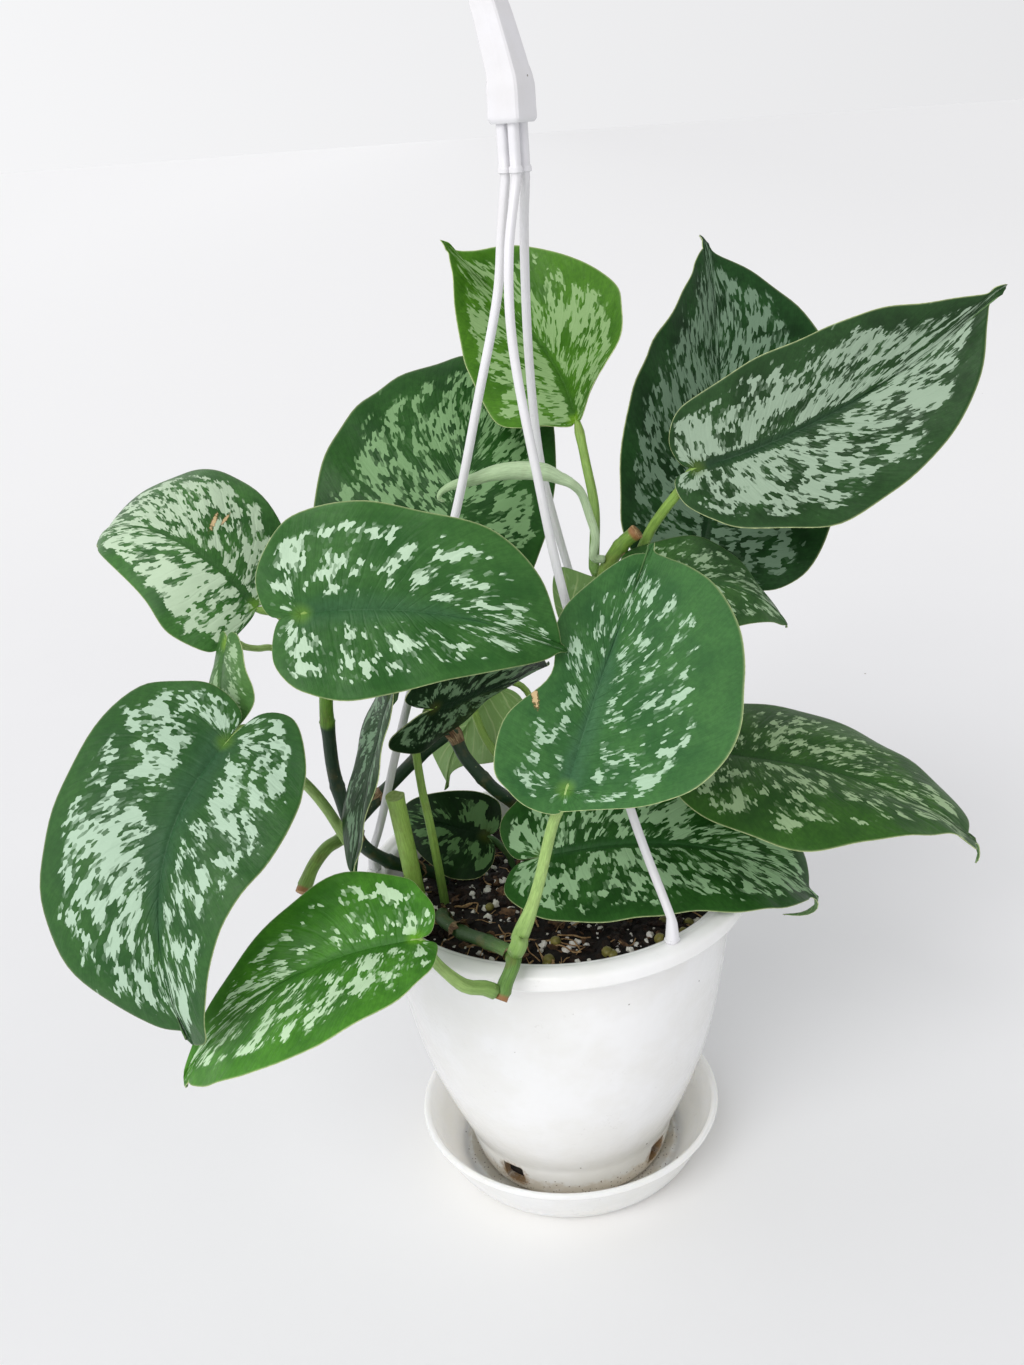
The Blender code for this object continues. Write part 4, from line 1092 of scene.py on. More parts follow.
@dataclass(frozen=True)
class StemFinish:
    """A green stem, stalk or roll: colours, how much it is blotched and how fine its fibres are."""
    low: Colour
    high: Colour
    seed: float = 0.0
    mark: Colour = shade(112, 96, 50)
    blotch: float = 0.35
    girth: float = 12.0
    rough: float = 0.42
    fade: tuple[float, float] = (0.0, 60.0)
    dry_from: float = 1000.0

    def material(self, name: str) -> Material:
        """The finish as a material.

        Args:
            name: the material's name.

        Returns:
            The material.
        """
        shader = Shader(name)
        g = shader.graph
        place = g.surface_map("place")
        grain = g.use(Effect.FIBRE_GRAIN, place=place, girth=self.girth, seed=self.seed)
        _, along, _ = g.parts(place)
        rise = g.span(g.plus(along, g.times(grain["Blotch"], 12.0)), *self.fade)
        colour = g.mix(rise, self.low, self.high)
        colour = g.mix(g.span(grain["Streak"], 0.35, 0.65, 0.0, 0.4), colour, dim(self.low, 0.62))
        colour = g.mix(g.span(grain["Blotch"], 0.5, 0.66, 0.0, self.blotch), colour, self.mark)
        colour = g.mix(g.times(grain["Speck"], 0.35), colour, shade(190, 200, 150))
        dry = g.span(g.plus(along, grain["Blotch"]), self.dry_from, self.dry_from + 1.5)
        colour = g.mix(dry, colour, shade(150, 108, 66))
        rough = g.span(grain["Streak"], 0.2, 0.8, self.rough - 0.08, self.rough + 0.12)
        shader.set(base_color=colour, roughness=rough)
        return shader.relief(grain["Height"], 1.0, 0.9).material


@dataclass(frozen=True)
class PaperFinish:
    """The dry brown skin left at a stem's nodes."""
    seed: float = 3.0

    def material(self, name: str) -> Material:
        """The finish as a material.

        Args:
            name: the material's name.

        Returns:
            The material.
        """
        shader = Shader(name)
        g = shader.graph
        place = g.surface_map("place")
        grain = g.use(Effect.FIBRE_GRAIN, place=place, girth=20.0, stretch=0.06, seed=self.seed)
        colour = g.mix(g.span(grain["Blotch"], 0.35, 0.65), shade(120, 88, 58), shade(196, 170, 128))
        colour = g.mix(g.span(grain["Streak"], 0.4, 0.62, 0.0, 0.8), colour, shade(66, 46, 30))
        shader.set(base_color=colour, roughness=g.span(grain["Streak"], 0.2, 0.8, 0.55, 0.85))
        return shader.relief(grain["Height"], 2.0, 1.0).material


SOIL_FILM = shade(196, 176, 146)
SOIL_CRUMB = shade(104, 74, 50)
NOTCH_STAIN = shade(150, 108, 48)
SMUDGE = shade(150, 140, 124)
DIRT_SPECK = shade(84, 68, 52)


@dataclass(frozen=True)
class PlasticFinish:
    """White moulded plastic with its traces of use; stain tells where soil has washed over it."""
    tint: Colour = shade(243, 243, 241)
    rough: float = 0.3
    dirt: float = 0.5
    stain: tuple[float, float] | None = None
    stain_ring: tuple[float, float] | None = None
    grain: float = 1.0
    glow: float = 0.0
    notches: tuple[float, ...] = ()

    def material(self, name: str) -> Material:
        """The finish as a material.

        Args:
            name: the material's name.

        Returns:
            The material.
        """
        shader = Shader(name, ior=1.49)
        g = shader.graph
        place = g.body_place()
        wear = g.use(Effect.PLASTIC_WEAR, place=place, dirt=self.dirt)
        warm = tuple(c * f for c, f in zip(self.tint, (0.955, 0.95, 0.93)))
        colour = g.mix(g.span(wear["Cloud"], 0.35, 0.65), self.tint, warm)
        x, y, z = g.parts(place)
        if self.stain is not None:
            reach = g.span(z, *self.stain, 1.0, 0.0)
            if self.stain_ring is not None:
                out = g.vector("LENGTH", g.whole(x, y, 0.0))
                reach = g.times(reach, g.span(out, *self.stain_ring, 1.0, 0.0))
            earth = g.use(Effect.EARTH_STAIN, place=place, reach=reach)
            colour = g.mix(g.times(earth["Film"], 0.5), colour, SOIL_FILM)
            colour = g.mix(g.times(earth["Crumb"], 0.8), colour, SOIL_CRUMB)
        for angle in self.notches:
            turn = math.radians(angle)
            centre = (NOTCH_REACH * math.cos(turn), NOTCH_REACH * math.sin(turn),
                (NOTCH_BOTTOM + NOTCH_TOP) / 2)
            away = g.vector("LENGTH", g.vector("SUBTRACT", place, centre))
            away = g.line(g.noise(place, 0.4, 4.0, 0.7), 6.0, away)
            colour = g.mix(g.span(away, 7.4, 11.4, 0.85, 0.0), colour, NOTCH_STAIN)
        colour = g.mix(g.times(wear["Smudge"], 0.22), colour, SMUDGE)
        colour = g.mix(g.times(wear["Speck"], 0.8), colour, DIRT_SPECK)
        rough = g.span(wear["Gloss"], 0.3, 0.7, self.rough - 0.08, self.rough + 0.12)
        shader.set(base_color=colour, roughness=rough, subsurface_weight=self.glow,
            subsurface_radius=(1.0, 0.95, 0.85), subsurface_scale=0.01)
        return shader.relief(wear["Height"], self.grain, 0.7).material


@dataclass(frozen=True)
class GrainFinish:
    """Loose material such as mix, bark or perlite: two colours, flecks and a rough surface."""
    dark: Colour
    light: Colour
    fleck: Colour
    scale: float = 1.0
    rough: float = 0.85
    bumps: float = 0.4

    def material(self, name: str) -> Material:
        """The finish as a material.

        Args:
            name: the material's name.

        Returns:
            The material.
        """
        shader = Shader(name)
        g = shader.graph
        place = g.body_place()
        coarse = g.noise(place, 0.45 * self.scale, 4.0, 0.65)
        fine = g.noise(place, 2.4 * self.scale, 3.0, 0.7)
        tint = g.cells(place, 0.28 * self.scale)
        pick = g.parts(tint.outputs["Color"])
        colour = g.mix(g.span(coarse, 0.35, 0.68), self.dark, self.light)
        colour = g.mix(g.times(pick[0], 0.4), colour, self.dark)
        colour = g.mix(g.span(fine, 0.6, 0.72, 0.0, 0.7), colour, self.fleck)
        shader.set(base_color=colour, roughness=g.span(fine, 0.2, 0.8, self.rough - 0.15,
            min(1.0, self.rough + 0.1)))
        height = g.plus(g.times(coarse, self.bumps), g.times(fine, 0.4 * self.bumps))
        return shader.relief(height).material


CUT_END = GrainFinish(shade(132, 92, 56), shade(214, 182, 132), shade(78, 50, 30), scale=1.6, rough=0.8)


# Leaves

BLADE_EDGE = 0.55
BLADE_MIDRIB = 1.5
TIP_ROWS = 8
HALF_OUTLINE = ((0, 0), (.10, -.55), (.34, -1.0), (.66, -.72), (.90, .05), (1.0, .27), (.95, .47),
    (.76, .67), (.47, .84), (.19, .95), (.05, .99))
# How far each outline's points stand outside that shape, in percent of the length: left, right
OUTLINE_TRIMS = {
    "leaf_front": ((3.4, -1.2, -0.9, -0.3, -0.9, -4.7, -1.5, -0.5, 0.5, -1.6),
        (1.9, -4.7, -4.2, -2.2, -0.6, -2.8, -1.8, -0.1, -1, -0.6)),
    "leaf_middle_left": ((4.7, -0.4, -1.9, -0.1, -0.5, -2.9, 0.2, 0.6, 0.2, 0.4),
        (-0.2, -3.6, -1.2, 0.5, 1.4, 0.5, 0.6, 1.8, 2.1, 1.1)),
    "leaf_left_large": ((6, 1.1, -1.4, -1.7, -2.6, -2.5, -3.7, 0.2, 4, 2.4),
        (1.8, -4.1, -4.9, -0.8, -1.9, -2.7, -2.1, -2.1, -0.9, -3)),
    "leaf_left_low": ((1.7, -2, -3.2, -1.4, 0.2, 0.1, -0.5, 0.4, 1, 0.4),
        (0.5, -1.9, -3.6, -2.8, 0.2, -2, -2.2, -0.8, -0.3, 0.4)),
    "leaf_left_high": ((-0.6, -1.6, 0, -1.3, -0.2, -2, -0.5, -0.6, -1.5, 0.2),
        (-0.6, -0.4, -0.7, -2.1, 1.8, -0.5, 1, -1, -0.5, -0.3)),
    "leaf_top": ((0.9, -1.9, -1.6, -0.7, -0.3, -0.3, 0.1, 1.1, 1.1, 0.6),
        (1.4, -1.4, -2, -3.3, -1.4, -2.3, -2.5, -1.8, -3, -1.5)),
    "leaf_right_high": ((0.7, -0.2, -2.7, -4.8, -2.8, -2.6, -1.1, -1.5, -0.5, 0.8),
        (4, 0.9, -4.3, -5.3, -0.8, -2.6, -2.8, -2.5, -2.6, -1.2)),
    "leaf_curled": ((1.4, 2.4, 3.9, 3.9, 3.7, 4.2, -0.8, -0.5, 0.2, 0.1),
        (0, 0, 0, 0, 0, 0, 0, 0, 0, 0)),
    "leaf_right_low": ((-0.7, -1.2, -2.6, -6, -4.9, -5, -4.5, 0.9, 2.9, -0.5),
        (0.1, 0.2, 0.5, 1.1, 2.3, -0.7, 0.7, -0.3, 3.5, 1.4)),
    "leaf_over_soil": ((3.1, -0.4, -3.9, 0, 0, 2.7, -2.6, -2.6, -1.5, -0.3),
        (3, 0.5, -2.1, -1.8, -1.5, -2.1, 0.4, 0.8, 0, 0)),
    "leaf_low_dark": ((1.5, 2.5, 6.4, 9, 9, 2.6, 1.1, 0.5, 0.2, 0.1),
        (0.2, 0.4, 0.8, 0, -0.3, -1.1, 0, 2.5, 4.1, 1.5)),
}
LEAST_NOTCH = 0.5              # share of its width that a trimmed point keeps at least
FIRST_ROW = 0.6                # where on the outline the blade's rows begin
CLOSED_NOTCHES = {"leaf_front": 0.12, "leaf_middle_left": 0.4}   # share of the notch that is left open
VEIN_START = 0.30
VEIN_POWER = 1.15
STALK_TIP_SHARE = 0.8
STALK_OVERLAP = 4.0
SEAT_RUN = 5.0
SEAT_GAP = 0.4

NEW_LEAF_POINTS = ((-31.5, 4, 286), (-33.5, 4, 287), (-32.5, 4, 289.5), (-28, 4.5, 291.5), (-20, 5, 293),
    (-12, 5, 295), (-4, 6, 295), (5, 7, 293.5), (10.8, 8, 290.5), (15, 8, 288), (18.5, 10, 283.5),
    (21, 12, 275), (23, 12.5, 266))
NEW_LEAF_RADII = (0.5, 0.7, 1.0, 1.6, 2.3, 2.9, 3.3, 3.4, 2.4, 1.8, 1.6, 1.6, 1.6)
NEW_LEAF_SEAT = ("stem_right", 0.9)
CUT_STALK_POINTS = ((-56, -5, 111), (-56, -5, 119), (-56, -5, 127), (-56.5, -8, 138), (-57.5, -10, 152),
    (-59.5, -14, 178))
CUT_STALK_RADIUS = 3.4


def stem_point(name: str, share: float) -> tuple[Array, Array, float]:
    """A point on a stem's centre line, the direction there and the stem's radius."""
    stem = next(s for s in STEMS if s.name == name)
    path = smooth(stem.points, 3.0)
    along = lengths_along(path)
    at = share * along[-1]
    here, ahead, behind = (np.array([np.interp(at + d, along, path[:, k]) for k in range(3)])
        for d in (0, 1, -1))
    return here, unit(ahead - behind), stem.radius


def seated(points: Sequence[Array], stem: str, share: float) -> list[Array]:
    """The points of a stalk with two more that bring its end square to the stem's side."""
    place, along, radius = stem_point(stem, share)
    away = np.array(points[-1], float) - place
    away = unit(away - along * np.dot(away, along))
    return [*points, place + away * (radius + SEAT_RUN), place + away * (radius + SEAT_GAP)]


@dataclass
class Blade:
    """The bent middle surface of one leaf's blade.

    rows and columns are those of one half. dents are (side, share, depth, width) of places
    where the outline draws in.
    """
    sizes: LeafSizes
    rows: int = 76
    columns: int = 18
    steps: int = 60
    seed: int = 0
    ripple: float = 0.5
    dents: tuple[Dent, ...] = ()
    ahead: Array = field(init=False)
    up: Array = field(init=False)

    def __post_init__(self) -> None:
        """Works out the bent midrib and the directions along it."""
        leaf = self.sizes
        heading, rise, roll = (math.radians(v) for v in (leaf.heading, leaf.rise, leaf.roll))
        ahead = np.array((math.cos(rise) * math.cos(heading), math.cos(rise) * math.sin(heading),
            math.sin(rise)))
        up = np.array((-math.sin(rise) * math.cos(heading), -math.sin(rise) * math.sin(heading),
            math.cos(rise)))
        side = np.cross(ahead, up)
        up, side = (up * math.cos(roll) + side * math.sin(roll),
            side * math.cos(roll) - up * math.sin(roll))
        self.ahead, self.up = ahead, up
        s = np.linspace(0, 1 + leaf.drip, self.steps)
        over = np.clip((s - 1) / max(leaf.drip, 1e-6), 0, 1)
        bend = math.radians(leaf.arch) * np.minimum(s, 1) ** 1.4 + math.radians(leaf.hook) * over
        turn = math.radians(leaf.sweep) * s
        tangent = ((np.cos(bend) * np.cos(turn))[:, None] * ahead
            + (np.cos(bend) * np.sin(turn))[:, None] * side - np.sin(bend)[:, None] * up)
        middle = (tangent[1:] + tangent[:-1]) / 2 * np.diff(s)[:, None]
        self.line = np.vstack([np.zeros(3), np.cumsum(middle, axis=0)])
        normal = np.sin(bend)[:, None] * ahead + np.cos(bend)[:, None] * up
        across = np.cross(tangent, normal)
        across /= np.linalg.norm(across, axis=1)[:, None]
        normal = np.cross(across, tangent)
        twist = (math.radians(leaf.twist) * s)[:, None]
        self.normal = normal * np.cos(twist) + across * np.sin(twist)
        self.across = np.cross(tangent, self.normal)
        self.shares = s

    def read(self, values: Array, s: Array) -> Array:
        """One of the curves along the midrib, at shares s."""
        place = np.clip(s, 0, self.shares[-1]) / self.shares[-1] * (len(self.shares) - 1)
        k = np.minimum(place.astype(int), len(self.shares) - 2)
        f = (place - k)[..., None]
        return values[k] * (1 - f) + values[k + 1] * f

    def point(self, x: Array, y: Array, side: int) -> Array:
        """The place, in millimetres, of flat blade coordinates on one side."""
        leaf = self.sizes
        width = leaf.right if side else leaf.left
        fold, curl = math.radians(leaf.fold), math.radians(leaf.curl) / width
        if abs(curl) < 1e-3:
            out, lift = np.cos(fold) * x, np.sin(fold) * x
        else:
            out = (np.sin(fold + curl * x) - math.sin(fold)) / curl
            lift = (math.cos(fold) - np.cos(fold + curl * x)) / curl
        sign = 1 if side else -1
        base = self.read(self.line, y) + np.minimum(y, 0)[..., None] * self.ahead
        flat = base + sign * out[..., None] * self.read(self.across, y)
        flat = flat + lift[..., None] * self.read(self.normal, y)
        return np.array(leaf.base) + leaf.length * flat

    def outline(self, side: int) -> Array:
        """The control points of one half's outline, in shares of the length."""
        leaf = self.sizes
        pts = np.array(HALF_OUTLINE, float)
        behind = pts[:, 1] < 0
        pts[behind, 1] *= leaf.lobe
        peak, full = leaf.shape[side], leaf.shape[2 + side]
        pts[4:10, 1] += peak * np.array((.6, 1, 1, .8, .5, .2))
        pts[6:10, 0] *= 1 + full * np.array((.25, .7, 1, .8))
        pts[:, 0] *= leaf.right if side else leaf.left
        pts[1, 0] *= CLOSED_NOTCHES.get(leaf.name, 1.0)
        tip = [(0.016, 1.0 + 0.25 * leaf.drip), (0.008, 1.0 + 0.65 * leaf.drip), (0.0, 1.0 + leaf.drip)]
        return self.trimmed(np.vstack([pts, tip]), OUTLINE_TRIMS.get(leaf.name, ((), ()))[side])

    @staticmethod
    def trimmed(points: Array, percent: Sequence[float]) -> Array:
        """An outline's points with those after the first moved outwards along its normals.

        Args:
            points: the outline's control points.
            percent: how far each moves, in percent of the leaf's length.

        Returns:
            The moved points.
        """
        if not percent:
            return points
        run = np.gradient(points, axis=0)
        outwards = np.stack([run[:, 1], -run[:, 0]], axis=1)
        outwards /= np.linalg.norm(outwards, axis=1)[:, None]
        moved = points.copy()
        moved[1:len(percent) + 1] += outwards[1:len(percent) + 1] * np.array(percent)[:, None] / 100
        moved[:, 0] = np.maximum(moved[:, 0], LEAST_NOTCH * points[:, 0])
        return moved

    def row_shares(self) -> Array:
        """Where the rows meet the outline: even, then closer in the drip tip."""
        last = len(HALF_OUTLINE) - 1
        body = np.linspace(FIRST_ROW, last, self.rows - TIP_ROWS)
        tip = np.linspace(last, last + 3, TIP_ROWS + 1)[1:]
        return np.concatenate([body, tip]) / (last + 3)

    def column_shares(self) -> Array:
        """Where the columns lie between midrib and margin: closer at both."""
        even = np.linspace(0, 1, self.columns + 1)
        near = np.array((0.0, 0.012, 0.028, 0.05, 0.085))
        far = np.array((0.965, 1.0))
        middle = np.linspace(0.085, 0.965, self.columns - 4)[1:-1]
        return np.concatenate([near, middle, far]) if self.columns > 8 else even

    def half(self, side: int) -> dict[str, Array]:
        """The grid of one half.

        Args:
            side: 0 for the left half, 1 for the right one.

        Returns:
            The points, the flat places, the vein places and the shares, rows from the notch to
            the tip and columns from the midrib to the margin, and the midrib share of each row.
        """
        leaf = self.sizes
        share = self.row_shares()
        points = self.outline(side)
        ends = np.vstack([2 * points[0] - points[1], points, 2 * points[-1] - points[-2]])
        place = np.clip(share, 0, 1) * (len(points) - 1)
        k = np.minimum(place.astype(int), len(points) - 2)
        f = (place - k)[:, None]
        a, b, c, d = (ends[k + n] for n in range(4))
        edge = between(a, b, c, d, f)
        for which, at, depth, width in self.dents:
            if which == side:
                edge[:, 0] *= 1 - depth * hump(share - at, width)
        rib = np.clip((share - VEIN_START * 0.8) / (1 - VEIN_START * 0.8), 0, 1) ** VEIN_POWER
        rib = np.minimum(rib * (1 + leaf.drip), np.maximum(edge[:, 1] - 0.004, 0))
        rib = np.maximum.accumulate(rib)
        t = self.column_shares()
        x = edge[:, :1] * t
        y = rib[:, None] * (1 - t) + edge[:, 1:] * t
        sign = 1 if side else -1
        flat = np.stack([sign * x * leaf.length, y * leaf.length], -1)
        reach = np.linalg.norm(flat - flat[:, :1], axis=-1)
        inner = flat[:, 0] * 0.45 + flat[:, -1] * 0.55
        course = lengths_along(inner) + (300.0 if side else 0.0)
        vein = np.stack([reach, np.broadcast_to(course[:, None], reach.shape)], -1)
        shares = spread(t, share)
        return {"points": self.point(x, y, side), "flat": flat, "vein": vein, "place": shares,
            "rib": rib, "x": np.linalg.norm(flat - flat[:, :1], axis=-1)}

    def swell(self, grid: Mapping[str, Array]) -> Array:
        """The blade's ripples and puckers.

        Args:
            grid: what half gives.

        Returns:
            For each point of the grid a height in millimetres.
        """
        dice = np.random.default_rng(self.seed)
        t, s = grid["place"][..., 0], grid["place"][..., 1]
        flat = grid["flat"]
        out = np.zeros(t.shape)
        for _ in range(5):
            way = dice.uniform(0, 2 * math.pi)
            wave = dice.uniform(16, 34)
            phase = dice.uniform(0, 2 * math.pi)
            run = flat[..., 0] * math.cos(way) + flat[..., 1] * math.sin(way)
            out += 0.16 * np.sin(2 * math.pi * run / wave + phase)
        course = grid["vein"][..., 1]
        pucker = np.sin(2 * math.pi * course / 6.8 + dice.uniform(0, 6)) * np.sin(math.pi
            * np.clip(t, 0, 1))
        out += 0.09 * pucker * np.clip(grid["rib"][:, None] * 8, 0, 1)
        margin = np.sin(2 * math.pi * course / dice.uniform(19, 27) + dice.uniform(0, 6)) * t ** 3
        out += self.ripple * margin * np.clip((1 - s) * 6, 0, 1)
        return out * np.clip(t * 5, 0, 1)


@dataclass
class Leaf:
    """A leaf: blade, pale edge and channelled stalk.

    Args:
        sizes: the leaf's row of the table.
        finish: its colours and pattern.
        stalk: the stalk's finish.
        ripple: the height of the waves along the margin.
        sheath: how much the stalk widens above its foot.
        dents: see Blade.
        slot: the blade's material slot; not used.
    """
    sizes: LeafSizes
    finish: LeafFinish
    stalk: StemFinish
    ripple: float = 0.5
    sheath: float = 0.0
    dents: tuple[Dent, ...] = ()
    slot: str = "satin_leaf"

    def surface(self, blade: Blade) -> tuple[list[dict[str, Array]], list[Array]]:
        """The grids of both halves and their normals, shared where the halves meet.

        Args:
            blade: the blade's middle surface.

        Returns:
            What half gives for each side, and the normals of each side's grid.
        """
        halves = [blade.half(side) for side in (0, 1)]
        normals = []
        for side, grid in enumerate(halves):
            p = grid["points"]
            down = np.gradient(p, axis=0)
            over = np.gradient(p, axis=1)
            n = np.cross(over, down) * (1 if side else -1)
            normals.append(n)
        every = np.concatenate([g["points"].reshape(-1, 3) for g in halves])
        _, same = np.unique(np.round(every, 3), axis=0, return_inverse=True)
        same = same.reshape(-1)
        flat = np.concatenate([n.reshape(-1, 3) for n in normals])
        total = np.zeros((same.max() + 1, 3))
        np.add.at(total, same, flat)
        length = np.linalg.norm(total, axis=1)
        total[length < 1e-9] = blade.up
        total /= np.maximum(np.linalg.norm(total, axis=1), 1e-9)[:, None]
        joined = total[same]
        count = halves[0]["points"].shape[0] * halves[0]["points"].shape[1]
        shape = halves[0]["points"].shape
        out = [joined[:count].reshape(shape), joined[count:].reshape(shape)]
        middle = out[1][shape[0] // 2, 1]
        if np.dot(middle, blade.read(blade.normal, np.array(0.4))) < 0:
            out = [-n for n in out]
        return halves, out

    def blade(self, draft: Draft, blade: Blade) -> None:
        """Adds both faces of the blade and its edge.

        Args:
            draft: what they are added to.
            blade: the blade's middle surface.
        """
        halves, normals = self.surface(blade)
        for side, (grid, normal) in enumerate(zip(halves, normals)):
            height = blade.swell(grid)
            rib = np.clip(grid["rib"], 0, 1)[:, None]
            x = grid["x"]
            on_rib = np.clip(rib * 12, 0, 1)
            groove = -0.26 * hump(x, 0.8) + 0.12 * hump(x - 2.2, 1.2)
            ridge = (BLADE_MIDRIB - BLADE_EDGE) * (1 - 0.75 * rib) * hump(x, 1.5)
            thin = BLADE_EDGE / 2 * (1 - 0.35 * grid["place"][..., 0] ** 6)
            maps = {key: grid[key] for key in Draft.MAPS}
            maps = {key: np.concatenate([m, m[:, -1:]], axis=1) for key, m in maps.items()}
            mid = grid["points"] + normal * height[..., None]
            top = mid + normal * (thin + groove * on_rib * (1 - 0.5 * rib))[..., None]
            low = mid - normal * (thin + ridge * np.clip(on_rib + 0.35, 0, 1))[..., None]
            draft.grid(top, 0, flip=not side, **maps)
            draft.grid(low, 1, flip=bool(side), **maps)
            rim_top, rim_low = self.border(top), self.border(low)
            outward = self.border(grid["points"]) - self.border(self.inset(grid["points"]))
            outward /= np.maximum(np.linalg.norm(outward, axis=1), 1e-6)[:, None]
            belly = (rim_top + rim_low) / 2 + outward * 0.14
            strip = np.stack([rim_top, belly, rim_low], axis=1)
            rim_flat = self.border(maps["flat"][:, :-1])
            layer = np.repeat(rim_flat[:, None], 4, axis=1)
            draft.grid(strip, 2, flip=not side, flat=layer)

    @staticmethod
    def border(grid: Array) -> Array:
        """The run of a half's outline: from the base out along the first row, then to the tip."""
        return np.concatenate([grid[0, :-1], grid[:, -1]])

    @staticmethod
    def inset(grid: Array) -> Array:
        """The grid with its outline moved one place inwards."""
        moved = grid.copy()
        moved[0] = grid[1]
        moved[:, -1] = grid[:, -2]
        moved[0, -1] = grid[1, -2]
        return moved

    def stalk_path(self, blade: Blade) -> Array:
        """The stalk's centre line, from its seat on the stem or in the soil to the blade."""
        leaf = self.sizes
        under = np.array(leaf.base, float) - blade.up * 0.9
        points = [under + blade.ahead * STALK_OVERLAP, under - blade.ahead * 1.0,
            *[np.array(p, float) for p in leaf.stalk]]
        if leaf.seat != "soil":
            points = seated(points, leaf.seat, leaf.seat_share)
        return smooth(points[::-1], 2.2)

    def petiole(self, draft: Draft, blade: Blade) -> None:
        """Adds the stalk: wider at its foot, a channel along it and a knee at the blade.

        Args:
            draft: what the stalk is added to.
            blade: the blade's middle surface.
        """
        path = self.stalk_path(blade)
        along = lengths_along(path)
        share = along / along[-1]
        radii = self.sizes.stalk_radius * (1.0 + (STALK_TIP_SHARE - 1.0) * share)
        radii *= 1 + 0.16 * hump(along, 5.0) + 0.14 * hump(along - along[-1] + 9.0, 3.0)
        radii *= 1 + self.sheath * hump(along - 9.0, 9.0)
        radii *= np.interp(along, [along[-1] - 8.0, along[-1] - 3.0, along[-1]], [1.0, 0.6, 0.3])

        def channel(turn: Array, run: Array) -> Array:
            """The section: a groove between two raised edges that fades towards the blade."""
            off = turn_from(turn, math.pi / 2)
            depth = 0.30 * (1 - 0.75 * run) * np.clip(run * 12, 0, 1)
            edges = hump(np.abs(off) - 0.62, 0.22)
            return 1 - depth * hump(off, 0.36) + 0.10 * (1 - run) * edges
        sweep(draft, path, radii, 22, 3, channel, caps=3, up=-blade.up)

    def build(self, number: int) -> Piece:
        """Makes the leaf and lets it stand for its solid.

        Args:
            number: seeds the ripples.

        Returns:
            The leaf.
        """
        name = self.sizes.name
        blade = Blade(self.sizes, seed=number, ripple=self.ripple, dents=self.dents)
        if self.sizes.length < 60:
            blade.rows, blade.columns = 56, 14
        draft = Draft()
        self.blade(draft, blade)
        self.petiole(draft, blade)
        materials = [self.finish.top(f"{name} upper side"), self.finish.underside(f"{name} underside"),
            self.finish.margin(f"{name} edge"), self.stalk.material(f"{name} stalk")]
        return place_piece(draft.make(f"{name}_fine", materials), self.slot, name)


# Stems

@dataclass
class Stem:
    """A stem with its nodes, rings and papery scraps.

    dry_length is how much of its cut end has dried, and scrap_grid how many points a scrap
    has round the stem and along it.
    """
    sizes: StemSizes
    finish: StemFinish
    paper: PaperFinish = PaperFinish()
    end: GrainFinish = CUT_END
    dry_length: float = 2.2
    scrap_grid: tuple[int, int] = (26, 9)

    def shape(self, along: Array) -> Array:
        """The factor on the radius at each millimetre along: nodes swell, rings stand up."""
        factor = np.ones_like(along)
        for node in self.sizes.nodes:
            factor += 0.13 * hump(along - node, 3.2)
            factor += 0.09 * hump(along - node - 0.6, 0.45)
            factor -= 0.05 * hump(along - node - 1.9, 0.6)
        return factor

    def scrap(self, draft: Draft, path: Array, along: Array, row: tuple[float, ...], seed: int) -> None:
        """Adds one papery scrap: a sleeve that goes part of the way round, with a torn edge.

        Args:
            draft: what the scrap is added to.
            path: the stem's fine centre line.
            along: the path's lengths.
            row: foot, length, way round, start angle and stand-off, as in StemSizes.
            seed: seeds the torn edge.
        """
        foot, length, round_way, start, lift = row
        dice = np.random.default_rng(seed)
        _, across, rise = frames(path)
        columns, rows = self.scrap_grid
        turns = np.radians(start + np.linspace(0, round_way, columns))
        teeth = np.arange(0, columns, 1.6)
        torn = np.interp(np.arange(columns), teeth, dice.uniform(0.35, 1.0, len(teeth)))
        torn *= np.sin(np.linspace(0.25, math.pi - 0.25, columns)) ** 0.5
        grid = np.zeros((rows, columns, 3))
        for i in range(rows):
            f = i / (rows - 1)
            at = foot + length * f * torn
            for j, turn in enumerate(turns):
                centre = np.array([np.interp(at[j], along, path[:, k]) for k in range(3)])
                a = np.array([np.interp(at[j], along, across[:, k]) for k in range(3)])
                b = np.array([np.interp(at[j], along, rise[:, k]) for k in range(3)])
                radius = self.sizes.radius * (1.10 + 0.05 * f) + lift * f ** 1.6 * (0.6 + 0.5
                    * math.sin(3 * turn + seed))
                grid[i, j] = centre + (a * math.cos(turn) + b * math.sin(turn)) * radius
        place = spread(np.linspace(0, 1, columns + 1), np.linspace(0, length, rows))
        draft.grid(grid, 1, place=place)
        centre = grid.mean(axis=(0, 1))
        inner = grid + (centre - grid) * 0.05
        draft.grid(inner, 1, flip=True, place=place)

    def build(self, number: int) -> Piece:
        """Makes the stem and lets it stand for its solid.

        Args:
            number: seeds the papery scraps.

        Returns:
            The stem.
        """
        path = smooth(self.sizes.points, 0.9)
        along = lengths_along(path)
        draft = Draft()
        sweep(draft, path, self.sizes.radius * self.shape(along), 20, 0, caps=2)
        for k, row in enumerate(self.sizes.scraps):
            self.scrap(draft, path, along, row, 10 * number + k)
        name = self.sizes.name
        skin = replace(self.finish, dry_from=float(along[-1]) - self.dry_length)
        materials = [skin.material(f"{name} skin"), self.paper.material(f"{name} dry skin"),
            self.end.material(f"{name} cut end")]
        return place_piece(draft.make(f"{name}_fine", materials), "stem_green", name)


